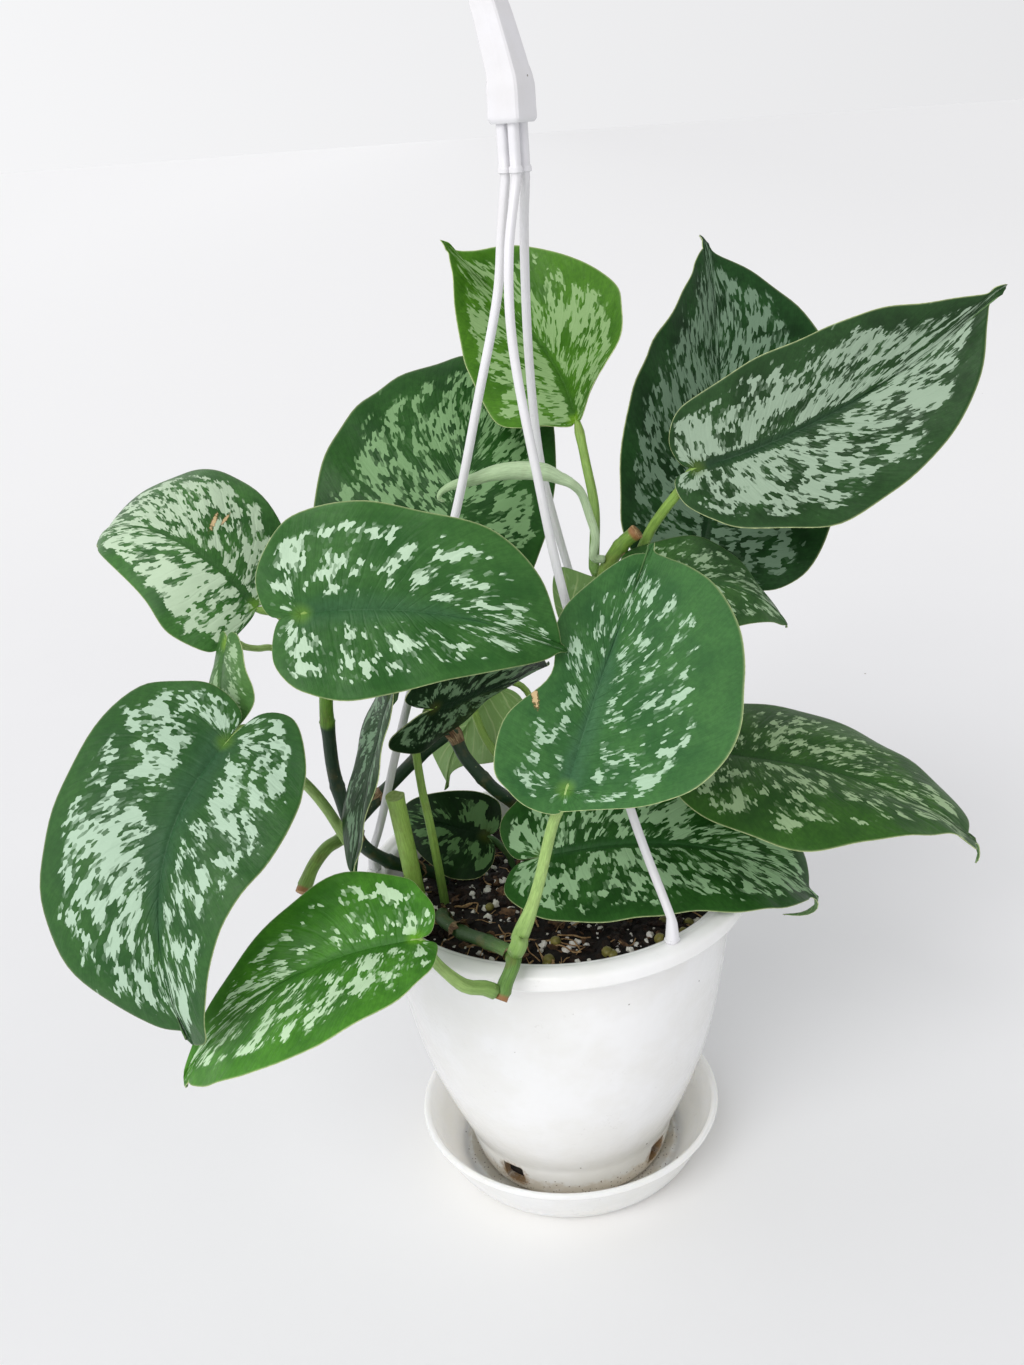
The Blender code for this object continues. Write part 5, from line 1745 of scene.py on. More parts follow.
@dataclass
class RolledLeaf:
    """The youngest leaf, still a tight pale roll with its free edge wound round it."""
    finish: StemFinish
    stalk: StemFinish

    def build(self) -> Piece:
        """Makes the roll and lets it stand for its solid."""
        points = seated([np.array(p, float) for p in NEW_LEAF_POINTS], *NEW_LEAF_SEAT)
        path = smooth(points, 1.1)
        along = lengths_along(path)
        marks = [along[np.argmin(np.linalg.norm(path - p, axis=1))] for p in points]
        radii = np.interp(along, marks, (*NEW_LEAF_RADII, *NEW_LEAF_RADII[-1:] * 2))
        neck = marks[9]

        def wound(turn: Array, run: Array) -> Array:
            """The section: a step where the blade's edge lies on the roll, winding along it."""
            lead = np.mod(turn - 5.2 * run * 2 * math.pi * 0.35, 2 * math.pi) / (2 * math.pi)
            in_roll = np.clip((neck / along[-1] - run) * 30, 0, 1)
            return 1 + in_roll * (0.16 * lead - 0.10)
        draft = Draft()
        sweep(draft, path, radii, 30, 0, wound, caps=0)
        joined = draft.make("new_leaf_fine", [self.finish.material("rolled leaf")])
        return place_piece(joined, "rolled_leaf", "new_leaf")


@dataclass
class CutStalk:
    """A stalk cut off square, its end dried a little hollow; channel is where its groove runs."""
    finish: StemFinish
    end: GrainFinish
    sides: int = 28
    channel: float = 4.2

    def build(self) -> Piece:
        """Makes the stalk and lets it stand for its solid."""
        path = smooth(CUT_STALK_POINTS, 1.5)
        along = lengths_along(path)

        def section(turn: Array, run: Array) -> Array:
            """A channel down one side."""
            off = turn_from(turn, self.channel)
            return 1 - 0.16 * hump(off, 0.4) + 0.05 * hump(np.abs(off) - 0.7, 0.25)
        radii = CUT_STALK_RADIUS * (1 + 0.08 * hump(along - along[-1], 2.5))
        draft = Draft()
        sweep(draft, path, radii, self.sides, 0, section)
        _, across, rise = frames(path)
        turn = full_turn(self.sides)
        rings = []
        for reach, sink in ((1.0, 0.0), (0.9, 0.1), (0.7, 0.5), (0.35, 0.7), (0.02, 0.75)):
            factor = section(turn, np.array(1.0)) * reach
            centre = path[-1] - unit(path[-1] - path[-2]) * sink
            rings.append(centre + radii[-1] * factor[:, None]
                * (np.cos(turn)[:, None] * across[-1] + np.sin(turn)[:, None] * rise[-1]))
        draft.grid(np.array(rings), 1, closed=True, flip=True)
        piece = draft.make("cut_stalk_fine", [self.finish.material("cut stalk"),
            self.end.material("cut end")], crease=50)
        return place_piece(piece, "stalk_green", "cut_stalk")


# Pot, saucer and mix

def cut_away(thing: Piece, cutters: Sequence[Piece]) -> None:
    """Cuts closed shapes out of an object and removes them."""
    for cutter in cutters:
        change = thing.modifiers.new("cut", "BOOLEAN")
        change.operation, change.solver, change.object = "DIFFERENCE", "EXACT", cutter
        bpy.context.view_layer.objects.active = thing
        bpy.ops.object.modifier_apply(modifier=change.name)
        bpy.data.objects.remove(cutter, do_unlink=True)


def block(corners: Sequence[Sequence[float]], faces: Sequence[Sequence[int]]) -> Piece:
    """A closed shape in the scene, for cutting."""
    mesh = bpy.data.meshes.new("cutter")
    mesh.from_pydata([tuple(c * MM for c in corner) for corner in corners], [], faces)
    work = bmesh.new()
    work.from_mesh(mesh)
    bmesh.ops.recalc_face_normals(work, faces=work.faces)
    work.to_mesh(mesh)
    work.free()
    thing = bpy.data.objects.new("cutter", mesh)
    bpy.context.scene.collection.objects.link(thing)
    return thing


@dataclass
class Saucer:
    """The saucer: a flat floor, a flared wall and a small rolled rim."""
    finish: PlasticFinish
    steps: int = 160

    def build(self) -> Piece:
        """Makes the saucer and lets it stand for its solid."""
        base, rim, wall = SAUCER_BASE_RADIUS, SAUCER_RIM_RADIUS, SAUCER_WALL
        top, floor = SAUCER_HEIGHT, SAUCER_FLOOR
        foot = [(0.02, 0.0), (base - 4.0, 0.0), (base - 3.4, 0.35), (base - 2.6, 0.0), (base - 1.0, 0.0)]
        outer = rounded([(base - 0.8, 0.05), (base + 1.6, 1.6), (base + 4.2, 4.6), (base + 6.9, 9.2),
            (base + 9.0, 14.0), (rim - 2.2, top - 3.2)], 1.6)
        lip = rounded([(rim - 2.0, top - 2.8), (rim - 0.5, top - 2.5), (rim, top - 1.5),
            (rim - 0.3, top - 0.3), (rim - 1.3, top), (rim - 2.5, top - 0.6)], 0.35)
        inner = rounded([(rim - 3.0, top - 1.6), (base + 9.0 - wall, 14.6), (base + 6.9 - wall, 9.8),
            (base + 4.2 - wall, 5.6), (base + 0.8 - wall, 3.0), (base - 2.6, floor)], 1.6)
        rings = [(base - 4.2, floor), (base - 4.7, floor + 0.35), (base - 5.4, floor + 0.35),
            (base - 5.9, floor), (30.0, floor), (29.6, floor + 0.3), (28.8, floor + 0.3), (28.4, floor),
            (0.02, floor)]
        draft = Draft()
        turned(draft, foot + outer + lip + inner + rings, self.steps, closed=False)
        piece = draft.make("saucer_fine", [self.finish.material("saucer plastic")], crease=40)
        return place_piece(piece, "white_plastic", "saucer")


@dataclass
class Pot:
    """The pot: foot, bowl and a lip turned over outwards, with drain notches."""
    finish: PlasticFinish
    steps: int = 168

    def profile(self) -> list[tuple[float, float]]:
        """The wall's outline, up the outside and down the inside."""
        foot = [(0.02, POT_BASE), (FOOT_RADIUS - 1.5, POT_BASE), (FOOT_RADIUS - 0.5, POT_BASE + 0.3),
            (FOOT_RADIUS, POT_BASE + 1.2), (FOOT_RADIUS + 1.4, 8.0), (FOOT_RADIUS + 2.9, 14.5),
            (FOOT_TOP_RADIUS - 0.3, FOOT_TOP - 1.2)]
        bowl = rounded([(FOOT_TOP_RADIUS, FOOT_TOP), *[(r, h) for h, r in BOWL_RADII]], 2.4)
        under = rounded([(69.7, 127.0), (70.0, 130.6), (71.2, 132.1), (75.0, 132.0), (75.7, 131.0),
            (75.9, LIP_BOTTOM + 0.3)], 0.5)
        rim = [(76.1, LIP_BOTTOM)] + rounded([(LIP_RADIUS - 0.3, LIP_BOTTOM),
            (LIP_RADIUS, LIP_BOTTOM + 0.5), (LIP_RADIUS, 131.0), (LIP_RADIUS - 0.1, 132.8),
            (76.8, 134.0), (75.4, 134.95), (73.6, LIP_TOP + 0.35), (71.8, LIP_TOP + 0.3)], 0.5)
        inside = rounded([(71.0, LIP_TOP - 0.25), (70.2, LIP_TOP - 0.35), (69.4, LIP_TOP - 0.5),
            (68.5, LIP_TOP - 1.0), (LIP_INNER_RADIUS, 133.2), (LIP_INNER_RADIUS - 0.2, 131.0),
            (69.6 - POT_WALL, 122.0)], 0.5)
        down = rounded([(r - POT_WALL, h) for h, r in reversed(BOWL_RADII[:-1])], 6.0)
        floor = [(FOOT_TOP_RADIUS - POT_WALL, FOOT_TOP + 0.8),
            (FOOT_RADIUS - POT_WALL - 1.0, POT_BASE + POT_WALL), (0.02, POT_BASE + POT_WALL)]
        return foot + bowl + under + rim + inside + down + floor

    def notches(self) -> list[Piece]:
        """The cutters of the four drain notches, their corners a little rounded."""
        cutters = []
        half, low, high, soft = NOTCH_WIDTH / 2, NOTCH_BOTTOM, NOTCH_TOP, 1.0
        outline = [(-half, low), (half, low), (half, high - soft),
            (half - 0.3 * soft, high - 0.3 * soft), (half - soft, high), (soft - half, high),
            (0.3 * soft - half, high - 0.3 * soft), (-half, high - soft)]
        for angle in NOTCH_ANGLES:
            out, side = level(math.radians(angle))
            corners = [out * r + side * s + (0, 0, z) for r in (34.0, 52.0) for s, z in outline]
            n = len(outline)
            faces = [tuple(range(n)), tuple(range(2 * n - 1, n - 1, -1))]
            faces += [(k, (k + 1) % n, n + (k + 1) % n, n + k) for k in range(n)]
            cutters.append(block(corners, faces))
        return cutters

    def build(self) -> Piece:
        """Makes the pot and lets it stand for its solid."""
        draft = Draft()
        turned(draft, self.profile(), self.steps, closed=False)
        pot = draft.make("pot_fine", [self.finish.material("pot plastic")])
        cut_away(pot, self.notches())
        pot.data.set_sharp_from_angle(angle=math.radians(38))
        return place_piece(pot, "white_plastic", "pot")


@dataclass
class PottingMix:
    """The mix in the pot: an uneven ground with bark, perlite, feed prills and dry fibres.

    reach and fibre_reach are how far from the axis lumps and fibres start. heaped is the
    share of the prills that lie together at the front, and loose the number of fibres that
    lie at the front left.
    """
    ground: GrainFinish
    bark: GrainFinish
    pale_bark: GrainFinish
    perlite: GrainFinish
    prill: GrainFinish
    fibre: GrainFinish
    seed: int = 7
    reach: float = 65.5
    fibre_reach: float = 62.0
    heaped: float = 0.7
    loose: int = 26
    counts: Mapping[str, int] = field(default_factory=lambda: {"bark": 900, "pale": 150, "perlite": 420,
        "prill": 26, "fibre": 90})

    def height(self, x: Array, y: Array) -> Array:
        """The ground's height in millimetres."""
        out = np.hypot(x, y)
        top = SOIL_TOP + 1.2 - 1.4 * (out / 66) ** 2
        for k, (size, rise) in enumerate(((23, 0.9), (11, 0.6), (6.1, 0.45), (3.3, 0.35), (2.1, 0.22))):
            way = 0.7 + 1.9 * k
            a = x * math.cos(way) + y * math.sin(way)
            b = y * math.cos(way) - x * math.sin(way)
            top = top + rise * np.sin(2 * math.pi * a / size + k) * np.sin(2 * math.pi * b
                / (size * 1.27) + 2 * k)
        return top

    def body(self) -> Piece:
        """The ground and, below it, the sides that show through the drain notches."""
        draft = Draft()
        turns, rings = 150, 60
        turn = full_turn(turns)
        out = np.linspace(0.5, 67.0, rings)[::-1]
        x, y = out[:, None] * np.cos(turn), out[:, None] * np.sin(turn)
        grid = np.stack([x, y, self.height(x, y)], -1)
        draft.grid(grid, 0, closed=True)
        inset = POT_WALL + 0.4
        side = [(FOOT_RADIUS - inset - 1.2, POT_BASE + POT_WALL + 0.3), (FOOT_RADIUS - inset + 0.9, 8.5),
            (FOOT_RADIUS - inset + 1.7, 12.0), (FOOT_TOP_RADIUS - inset, FOOT_TOP + 1.0)]
        side += [(r - inset, h) for h, r in BOWL_RADII[1:-1]] + [(67.0, SOIL_TOP - 1.0)]
        turned(draft, side, turns, closed=False)
        return draft.make("mix_ground", [self.ground.material("potting mix")])

    def chunk(self, draft: Draft, dice: np.random.Generator, centre: Array, size: Array, slot: int,
            rough: float) -> None:
        """Adds one lump.

        Args:
            draft: what the lump is added to.
            dice: the random numbers.
            centre: where it lies.
            size: its three half lengths.
            slot: its material slot.
            rough: how far its corners leave an ellipsoid.
        """
        base = LUMP_POINTS * (1 + dice.uniform(-rough, rough, (len(LUMP_POINTS), 1)))
        turn, nod, lean = dice.uniform(0, 2 * math.pi), dice.normal(0, 0.35), dice.normal(0, 0.35)
        spin = Matrix.Rotation(turn, 3, "Z") @ Matrix.Rotation(nod, 3, "X")
        spin = spin @ Matrix.Rotation(lean, 3, "Y")
        draft.soup((base * size) @ np.array(spin).T + centre, LUMP_FACES, slot)

    def scatter(self) -> Piece:
        """Bark, perlite and prills lying on the ground."""
        dice = np.random.default_rng(self.seed)
        draft = Draft()
        kinds = (("bark", 0, (0.8, 3.4), (0.30, 0.55), 0.42),
            ("pale", 1, (0.9, 3.8), (0.25, 0.45), 0.40), ("perlite", 2, (0.35, 1.9), (0.7, 1.0), 0.28),
            ("prill", 3, (1.8, 2.6), (0.92, 1.0), 0.04))
        for kind, slot, (low, high), (flat, full), rough in kinds:
            for _ in range(self.counts[kind]):
                out, turn = self.reach * math.sqrt(dice.uniform(0, 1)), dice.uniform(0, 2 * math.pi)
                if kind == "prill" and dice.uniform() < self.heaped:
                    out, turn = dice.uniform(48, 65), math.radians(dice.uniform(-100, -25))
                size = low + (high - low) * dice.uniform() ** 2
                x, y = out * math.cos(turn), out * math.sin(turn)
                z = float(self.height(np.array(x), np.array(y))) + size * flat * 0.45
                shape = np.array((size, size * dice.uniform(flat, 1.0), size * dice.uniform(flat, full)))
                self.chunk(draft, dice, np.array((x, y, z)), shape, slot, rough)
        finishes = [self.bark.material("bark"), self.pale_bark.material("pale bark"),
            self.perlite.material("perlite"), self.prill.material("feed prill")]
        return draft.make("mix_lumps", finishes, weld=0, crease=35)

    def fibres(self) -> Piece:
        """Dry root and leaf fibres lying over the lumps."""
        dice = np.random.default_rng(self.seed + 1)
        draft = Draft()
        for k in range(self.counts["fibre"]):
            out, turn = self.fibre_reach * math.sqrt(dice.uniform(0, 1)), dice.uniform(0, 2 * math.pi)
            if k < self.loose:
                out, turn = dice.uniform(24, 60), math.radians(dice.uniform(-140, -80))
            x, y, way = out * math.cos(turn), out * math.sin(turn), dice.uniform(0, 2 * math.pi)
            points = []
            for _ in range(5):
                z = float(self.height(np.array(x), np.array(y))) + dice.uniform(0.6, 2.4)
                points.append((x, y, z))
                way += dice.normal(0, 0.5)
                x, y = x + 3.2 * math.cos(way), y + 3.2 * math.sin(way)
                if math.hypot(x, y) > 65:
                    break
            if len(points) > 2:
                sweep(draft, smooth(points, 1.0), dice.uniform(0.14, 0.42), 6, 0, caps=0)
        return draft.make("mix_fibres", [self.fibre.material("dry fibre")])

    def build(self) -> list[Piece]:
        """Makes the mix and lets it stand for its solid."""
        pieces = [self.body(), self.scatter(), self.fibres()]
        for piece in pieces:
            place_piece(piece, "potting_mix", "soil")
        return pieces


def lump() -> tuple[Array, list[tuple[int, ...]]]:
    """The corner points and faces of a ball of 42 points."""
    work = bmesh.new()
    bmesh.ops.create_icosphere(work, subdivisions=2, radius=1.0)
    points = np.array([tuple(v.co) for v in work.verts])
    faces = [tuple(v.index for v in f.verts) for f in work.faces]
    work.free()
    return points, faces


LUMP_POINTS, LUMP_FACES = lump()


# Hanger

@dataclass
class HangerRod:
    """A rod with its tab on the lip, flattened shank, collar and sleeve."""
    sizes: RodSizes
    finish: PlasticFinish

    def build(self) -> Piece:
        """Makes the rod and lets it stand for its solid."""
        rod = self.sizes
        turn = math.radians(rod.foot_angle)
        x, y = ROD_FOOT_CIRCLE * math.cos(turn), ROD_FOOT_CIRCLE * math.sin(turn)
        lip = LIP_TOP + 0.7
        clip_top = lip + CLIP_LENGTH
        sleeve_low = HEAD_BOTTOM - SLEEVE_LENGTH
        tx, ty = rod.top
        start = np.array((x, y, clip_top))
        lead = unit(np.array(rod.bow[0]) - start)
        shank = smooth([start + lead, *rod.bow, (tx, ty, sleeve_low - 3.0)], 2.5)
        low = [(x, y, lip - PEG_LENGTH), (x, y, lip - 0.3), (x, y, lip - 0.05), (x, y, lip + 0.3),
            (x, y, lip + 2.0), (x, y, lip + 4.0), (x, y, clip_top - 1.5)]
        low_radii = [ROD_RADIUS, ROD_RADIUS, CLIP_RADIUS - 0.1, CLIP_RADIUS + 0.1, CLIP_RADIUS,
            CLIP_RADIUS - 0.15, CLIP_RADIUS - 0.45]
        high = [(tx, ty, sleeve_low - 1.7), (tx, ty, sleeve_low - 1.3), (tx, ty, sleeve_low - 1.0),
            (tx, ty, sleeve_low + 0.4), (tx, ty, sleeve_low + 0.7), (tx, ty, sleeve_low + 1.1),
            (tx, ty, sleeve_low + 6.0), (tx, ty, HEAD_BOTTOM + SOCKET_DEPTH - 0.3)]
        high_radii = [ROD_RADIUS, ROD_RADIUS + 0.1, COLLAR_RADIUS, COLLAR_RADIUS, COLLAR_RADIUS - 0.1,
            SLEEVE_RADIUS, SLEEVE_RADIUS, SLEEVE_RADIUS]
        path = np.vstack([low, shank, high])
        radii = np.array(low_radii + [ROD_RADIUS * 1.03] * len(shank) + high_radii)

        def section(angle: Array, run: Array) -> Array:
            """Two flats that meet in a ridge, a shallow seam on the other side."""
            flats = 1 + 0.045 * np.cos(4 * angle)
            off = turn_from(angle, 4.1)
            return flats - 0.13 * hump(off, 0.17)
        draft = Draft()
        sweep(draft, path, radii, 32, 0, section, caps=0)
        self.tab(draft, np.array((x, y, lip)), turn)
        piece = draft.make(f"{rod.name}_fine", [self.finish.material(f"{rod.name} plastic")], crease=42)
        return place_piece(piece, "white_plastic", rod.name)

    def tab(self, draft: Draft, foot: Array, turn: float) -> None:
        """Adds the small flat tab with a boss, by which the rod sits on the lip."""
        ball = LUMP_POINTS / np.max(np.abs(LUMP_POINTS), axis=1)[:, None] ** 0.55
        along, beside = level(turn)
        size = (2.2, 3.0, 1.1)
        centre = foot + (0, 0, 0.75)
        pts = ball[:, :1] * along * size[0] + ball[:, 1:2] * beside * size[1] + ball[:, 2:] * (0, 0,
            size[2])
        draft.soup(pts + centre, LUMP_FACES)


@dataclass
class HangerHead:
    """The square block over the rods that leans over into a plain hook.

    The section is a square of the power corners with its corners eased, and from eased_from
    over eased_run millimetres along it loses corner_loss of that power.
    """
    finish: PlasticFinish
    sides: int = 48
    corners: float = 13.0
    corner_loss: float = 8.0
    eased_from: float = 60.0
    eased_run: float = 30.0

    def path(self) -> tuple[Array, Array]:
        """The centre line and the section sizes."""
        along, _ = level(-math.radians(HOOK_PLANE))
        foot = np.array((*HEAD_CENTRE, 0.0))
        arm = [(0, HEAD_BOTTOM, 1.0), (0, HEAD_BOTTOM + 1.0, 1.06), (0, HEAD_BOTTOM + 11.0, 1.06),
            (-0.8, HEAD_BOTTOM + 16.0, 0.95), (-4.5, HEAD_BOTTOM + 30.0, 0.86),
            (-8.5, HEAD_BOTTOM + 44.0, 0.76)]
        centre = (arm[-1][0] + HOOK_RADIUS, HEAD_BOTTOM + 56.0)
        marks = [(foot + along * u + (0, 0, z), size) for u, z, size in arm]
        for k in range(11):
            turn = math.radians(176 - k * 21)
            marks.append((foot + along * (centre[0] + HOOK_RADIUS * math.cos(turn))
                + (0, 0, centre[1] + HOOK_RADIUS * math.sin(turn)), 0.68 - 0.02 * k))
        points = np.array([p for p, _ in marks])
        sizes = np.array([s for _, s in marks])
        line = smooth(points, 1.2)
        run = lengths_along(line)
        places = np.array([run[np.argmin(np.linalg.norm(line - p, axis=1))] for p in points])
        return line, np.interp(run, places, sizes)

    def build(self) -> Piece:
        """Makes the head and lets it stand for its solid."""
        line, sizes = self.path()
        _, flat = level(-math.radians(HOOK_PLANE))
        tangents, _, _ = frames(line)
        run = lengths_along(line)
        turns = 2 * math.pi * (np.arange(self.sides) + 0.5) / self.sides
        rings = []
        for centre, size, tangent, at in zip(line, sizes, tangents, run):
            wide = unit(np.cross(flat, tangent))
            half = HEAD_SIDE / 2 * size
            eased = min(1.0, max(0.0, (at - self.eased_from) / self.eased_run))
            power = self.corners - self.corner_loss * eased
            c, s = np.cos(turns), np.sin(turns)
            reach = (np.abs(c) ** power + np.abs(s) ** power) ** (-1 / power)
            a, b = c * reach, s * reach
            groove = 0.05 * hump(a - 0.15, 0.10) * (np.abs(b) > 0.8) * min(1.0, at / 14.0)
            b = b * (1 - groove)
            edge = 1.0 - 0.06 * math.exp(-(at / 0.7) ** 2) + 0.02 * math.exp(-((at - 2.2) / 1.2) ** 2)
            rings.append(centre + half * edge * (a[:, None] * wide + b[:, None] * flat))
        draft = Draft()
        share = np.linspace(0, 1, self.sides + 1)
        place = spread(share, run)
        grid = np.array(rings)
        draft.grid(grid, 0, closed=True, place=place)
        for ring, order in ((grid[0], -1), (grid[-1], 1)):
            fan = [(k, (k + 1) % self.sides, self.sides)[::order] for k in range(self.sides)]
            draft.soup(np.vstack([ring, ring.mean(axis=0)]), fan)
        piece = draft.make("hanger_head_fine", [self.finish.material("head plastic")], crease=40)
        return place_piece(piece, "white_plastic", "hanger_head")


# Studio

@dataclass
class Studio:
    """The pale floor, the even surrounding light, the soft key light and the camera.

    far_tint is the floor's colour away from the part, far_right_shade the factor of painted shade that
    darkens it far to the right, and floor_radius its size in metres.
    The camera's eye is in millimetres, looks down by pitch and is turned by roll, and
    focal_share is its focal length as a share of the picture's height.
    """
    floor_tint: Colour = shade(243, 243, 245)
    far_tint: Colour = shade(251, 251, 252)
    far_right_shade: float = 0.893
    floor_radius: float = 30.0
    eye: Place = (-12.0, -485.0, 414.0)
    pitch: float = 22.3
    roll: float = 4.2
    focal_share: float = 1385.0 / 1365.0
    key_way: Place = (0.45, 0.72, -0.66)
    key_strength: float = 1.45
    key_width: float = 40.0
    key_tint: Colour = (1.0, 0.995, 0.985)

    def floor(self) -> None:
        """A wide pale floor under the saucer."""
        mesh = bpy.data.meshes.new("floor")
        turns = 64
        points = [(self.floor_radius * math.cos(2 * math.pi * k / turns),
            self.floor_radius * math.sin(2 * math.pi * k / turns), 0.0) for k in range(turns)]
        mesh.from_pydata(points, [], [tuple(range(turns))])
        floor = bpy.data.objects.new("studio_floor", mesh)
        bpy.context.scene.collection.objects.link(floor)
        shader = Shader("studio floor")
        g = shader.graph
        place = g.body_place()
        cloud = g.noise(place, 0.004, 3.0, 0.5)
        dots = g.cells(place, 0.035)
        pick = g.parts(dots.outputs["Color"])
        speck = g.times(g.math("LESS_THAN", pick[0], 0.035),
            g.span(dots.outputs["Distance"], 0.018, 0.035, 1.0, 0.0))
        low = dim(self.floor_tint, 0.975)
        colour = g.mix(g.span(cloud, 0.3, 0.7), self.floor_tint, low)
        across, _, _ = g.parts(place)
        # Away from the part the floor takes far_tint, with painted shade darkening it towards the right.
        far = g.mix(g.span(across, -2200.0, 2200.0), self.far_tint, dim(self.far_tint, self.far_right_shade))
        colour = g.mix(g.span(g.vector("LENGTH", place), 150.0, 1500.0), colour, far)
        colour = g.mix(g.times(speck, 0.75), colour, shade(120, 104, 84))
        shader.set(base_color=colour, roughness=g.span(cloud, 0.3, 0.7, 0.8, 0.9),
            specular_ior_level=0.1)
        shader.relief(g.noise(place, 0.5, 3.0), 0.05, 0.3)
        floor.data.materials.append(shader.material)

    def sky(self) -> None:
        """An even white surround, a little brighter on the left."""
        world = bpy.data.worlds.new("surround")
        world.use_nodes = True
        bpy.context.scene.world = world
        g = Graph(world.node_tree)
        back = world.node_tree.nodes["Background"]
        x, _, z = g.parts(g.vector("NORMALIZE", g.add("ShaderNodeTexCoord").outputs["Generated"]))
        side = g.span(x, -0.9, 0.9, soft=False)
        high = g.mix(side, (0.90, 0.90, 0.915), (0.42, 0.42, 0.42))
        low = g.mix(side, (1.035, 1.035, 1.048), (0.70, 0.70, 0.71))
        g.feed(back.inputs["Color"], g.mix(g.span(z, 0.08, 0.5), low, high))
        back.inputs["Strength"].default_value = 1.0

    def lamp(self) -> None:
        """The soft key light, from the left, the front and above."""
        data = bpy.data.lights.new("key light", "SUN")
        data.energy = self.key_strength
        data.angle = math.radians(self.key_width)
        data.color = self.key_tint
        lamp = bpy.data.objects.new("key light", data)
        lamp.rotation_mode = "QUATERNION"
        lamp.rotation_quaternion = Vector(self.key_way).normalized().to_track_quat("-Z", "Y")
        bpy.context.scene.collection.objects.link(lamp)

    def camera(self) -> None:
        """The camera at the photo's place and angle."""
        pitch, roll = math.radians(self.pitch), math.radians(self.roll)
        forward = np.array((0.0, math.cos(pitch), -math.sin(pitch)))
        right = np.array((1.0, 0.0, 0.0))
        down = -np.cross(right, forward)
        across = right * math.cos(roll) + down * math.sin(roll)
        below = -right * math.sin(roll) + down * math.cos(roll)
        data = bpy.data.cameras.new("photo_camera")
        data.sensor_fit = "AUTO"
        data.sensor_width = 36.0
        data.lens = self.focal_share * data.sensor_width
        data.clip_start = 0.01
        data.clip_end = 100.0
        camera = bpy.data.objects.new("photo_camera", data)
        columns = (across, -below, -forward, np.array(self.eye) * MM)
        camera.matrix_world = Matrix([[float(column[row]) for column in columns] for row in range(3)]
            + [[0.0, 0.0, 0.0, 1.0]])
        bpy.context.scene.collection.objects.link(camera)
        bpy.context.scene.camera = camera

    def build(self) -> None:
        """Makes the floor, the light and the camera."""
        self.camera()
        self.floor()
        self.sky()
        self.lamp()
        view = bpy.context.scene.view_settings
        view.view_transform = "Standard"
        view.look = "None"


# The plant

FRESH = StemFinish(shade(120, 158, 78), shade(168, 200, 118), 1.0, blotch=0.1, fade=(0.0, 30.0))
STALK = StemFinish(shade(98, 138, 62), shade(146, 182, 84), 2.0, blotch=0.15, fade=(0.0, 60.0))
DARK_STALK = StemFinish(shade(54, 92, 48), shade(84, 124, 66), 3.0, blotch=0.25, fade=(0.0, 60.0))
